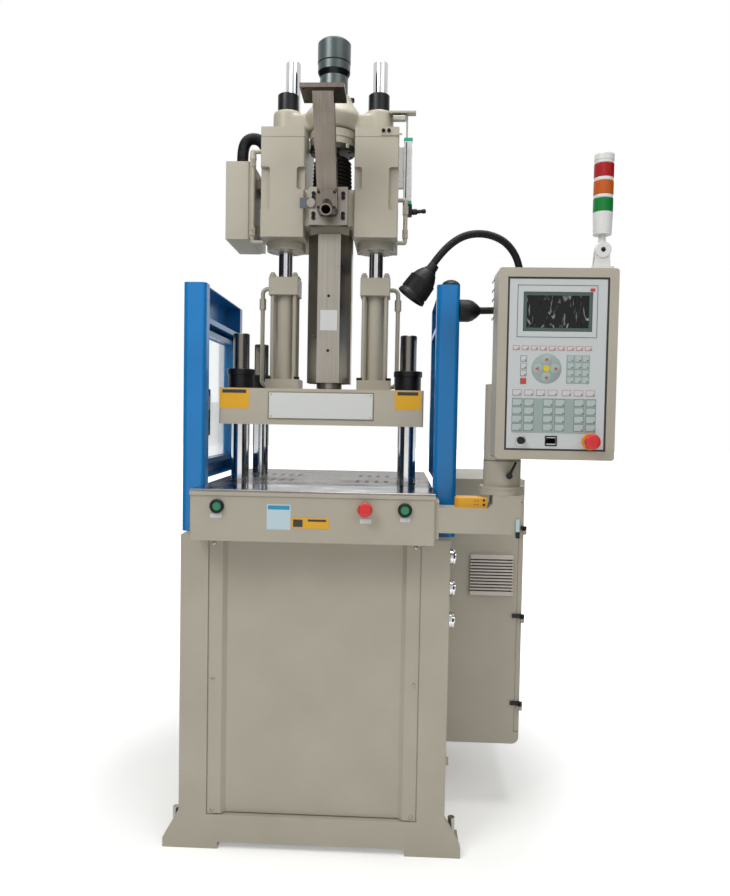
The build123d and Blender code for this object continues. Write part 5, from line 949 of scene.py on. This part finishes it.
floor_paint, floor_shader, place = finish("floor_pale", "#F0F0EE", 0.9)
reach = add(floor_paint, "VectorMath", links={0: place}, operation="LENGTH").outputs["Value"]
spread = {"From Min": 0.7, "From Max": 2.0, "To Min": 0.3, "To Max": 1.0}
fade = add(floor_paint, "MapRange", spread, {"Value": reach})
glow = add(floor_paint, "Math", links={0: fade, 1: seen_rays(floor_paint)}, operation="MULTIPLY")
floor_shader.inputs["Emission Color"].default_value = (1, 1, 1, 1)
connect(floor_paint, floor_shader, {"Emission Strength": glow})
floor.data.materials.append(floor_paint)
floor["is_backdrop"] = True

# Flags: tall black cards beside the machine and a low grey one behind it, which only polished metal sees.
# They give chromed bars their dark edges and the table its tone, as black flags do in a studio.
card_black = finish("flag_cloth_black", "#0B0D12", 0.95)[0]
card_grey = finish("flag_cloth_grey", "#6E6C68", 0.95)[0]
upright, facing = (0, math.pi / 2, 0), (math.pi / 2, 0, 0)
for name, place, turn, spread, card in (
    ("flag_left", (-2.0, -0.7, 1.4), upright, (3.4, 6.6, 1), card_black),
    ("flag_right", (2.0, -0.7, 1.4), upright, (3.4, 6.6, 1), card_black),
    ("flag_back", (0, 3.2, 0.68), facing, (3.6, 1.34, 1), card_grey),
):
    bpy.ops.mesh.primitive_plane_add(size=1, location=place, rotation=turn)
    flag = bpy.context.active_object
    flag.name = name
    flag.scale = spread
    flag.data.materials.append(card)
    for hidden in ("visible_camera", "visible_diffuse", "visible_transmission", "visible_shadow"):
        setattr(flag, hidden, False)
    flag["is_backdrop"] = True
world = bpy.data.worlds.new("room")
bpy.context.scene.world = world
world.use_nodes = True
world.node_tree.nodes.clear()
soft = add(world, "Background", {"Color": linear("#FAFBFC"), "Strength": 0.34})
white = add(world, "Background", {"Color": linear("#FFFFFF"), "Strength": 1.0})
shown = add(world, "MixShader", links={0: seen_rays(world), 1: soft, 2: white})
add(world, "OutputWorld", links={"Surface": shown})
for name, place, size, watts in (
    ("key_lamp", (-1.8, -2.5, 3.9), 1.6, 66),
    ("fill_lamp", (2.4, -2.9, 3.3), 2.2, 30),
    ("top_lamp", (0.4, -0.6, 5.0), 2.0, 92),
):
    light = bpy.data.lights.new(name, "AREA")
    light.energy = watts
    light.size = size
    lamp = bpy.data.objects.new(name, light)
    lamp.location = place
    lamp.rotation_euler = (Vector((0, 0, 1.2)) - Vector(place)).to_track_quat("-Z", "Y").to_euler()
    bpy.context.scene.collection.objects.link(lamp)
bpy.context.scene.view_settings.view_transform = "Standard"

# Camera: as a person stands in front of the machine and a little to its right, at chest height.
# Its place, tilt and lens come from the machine's own right angles.
camera_data = bpy.data.cameras.new("camera")
image_height, focal_pixels = 896, 760
camera_data.sensor_width = 36
camera_data.lens = focal_pixels / image_height * camera_data.sensor_width
camera_data.clip_end = 100
camera = bpy.data.objects.new("camera", camera_data)
pitch, yaw, roll = -0.0393, -0.0412, 0.0178
camera.matrix_world = (
    Matrix.Translation((0.2255, -2.5097, 1.2506))
    @ Matrix.Rotation(-yaw, 4, "Z")
    @ Matrix.Rotation(math.pi / 2 + pitch, 4, "X")
    @ Matrix.Rotation(roll, 4, "Z")
)
bpy.context.scene.collection.objects.link(camera)
bpy.context.scene.camera = camera

low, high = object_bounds()
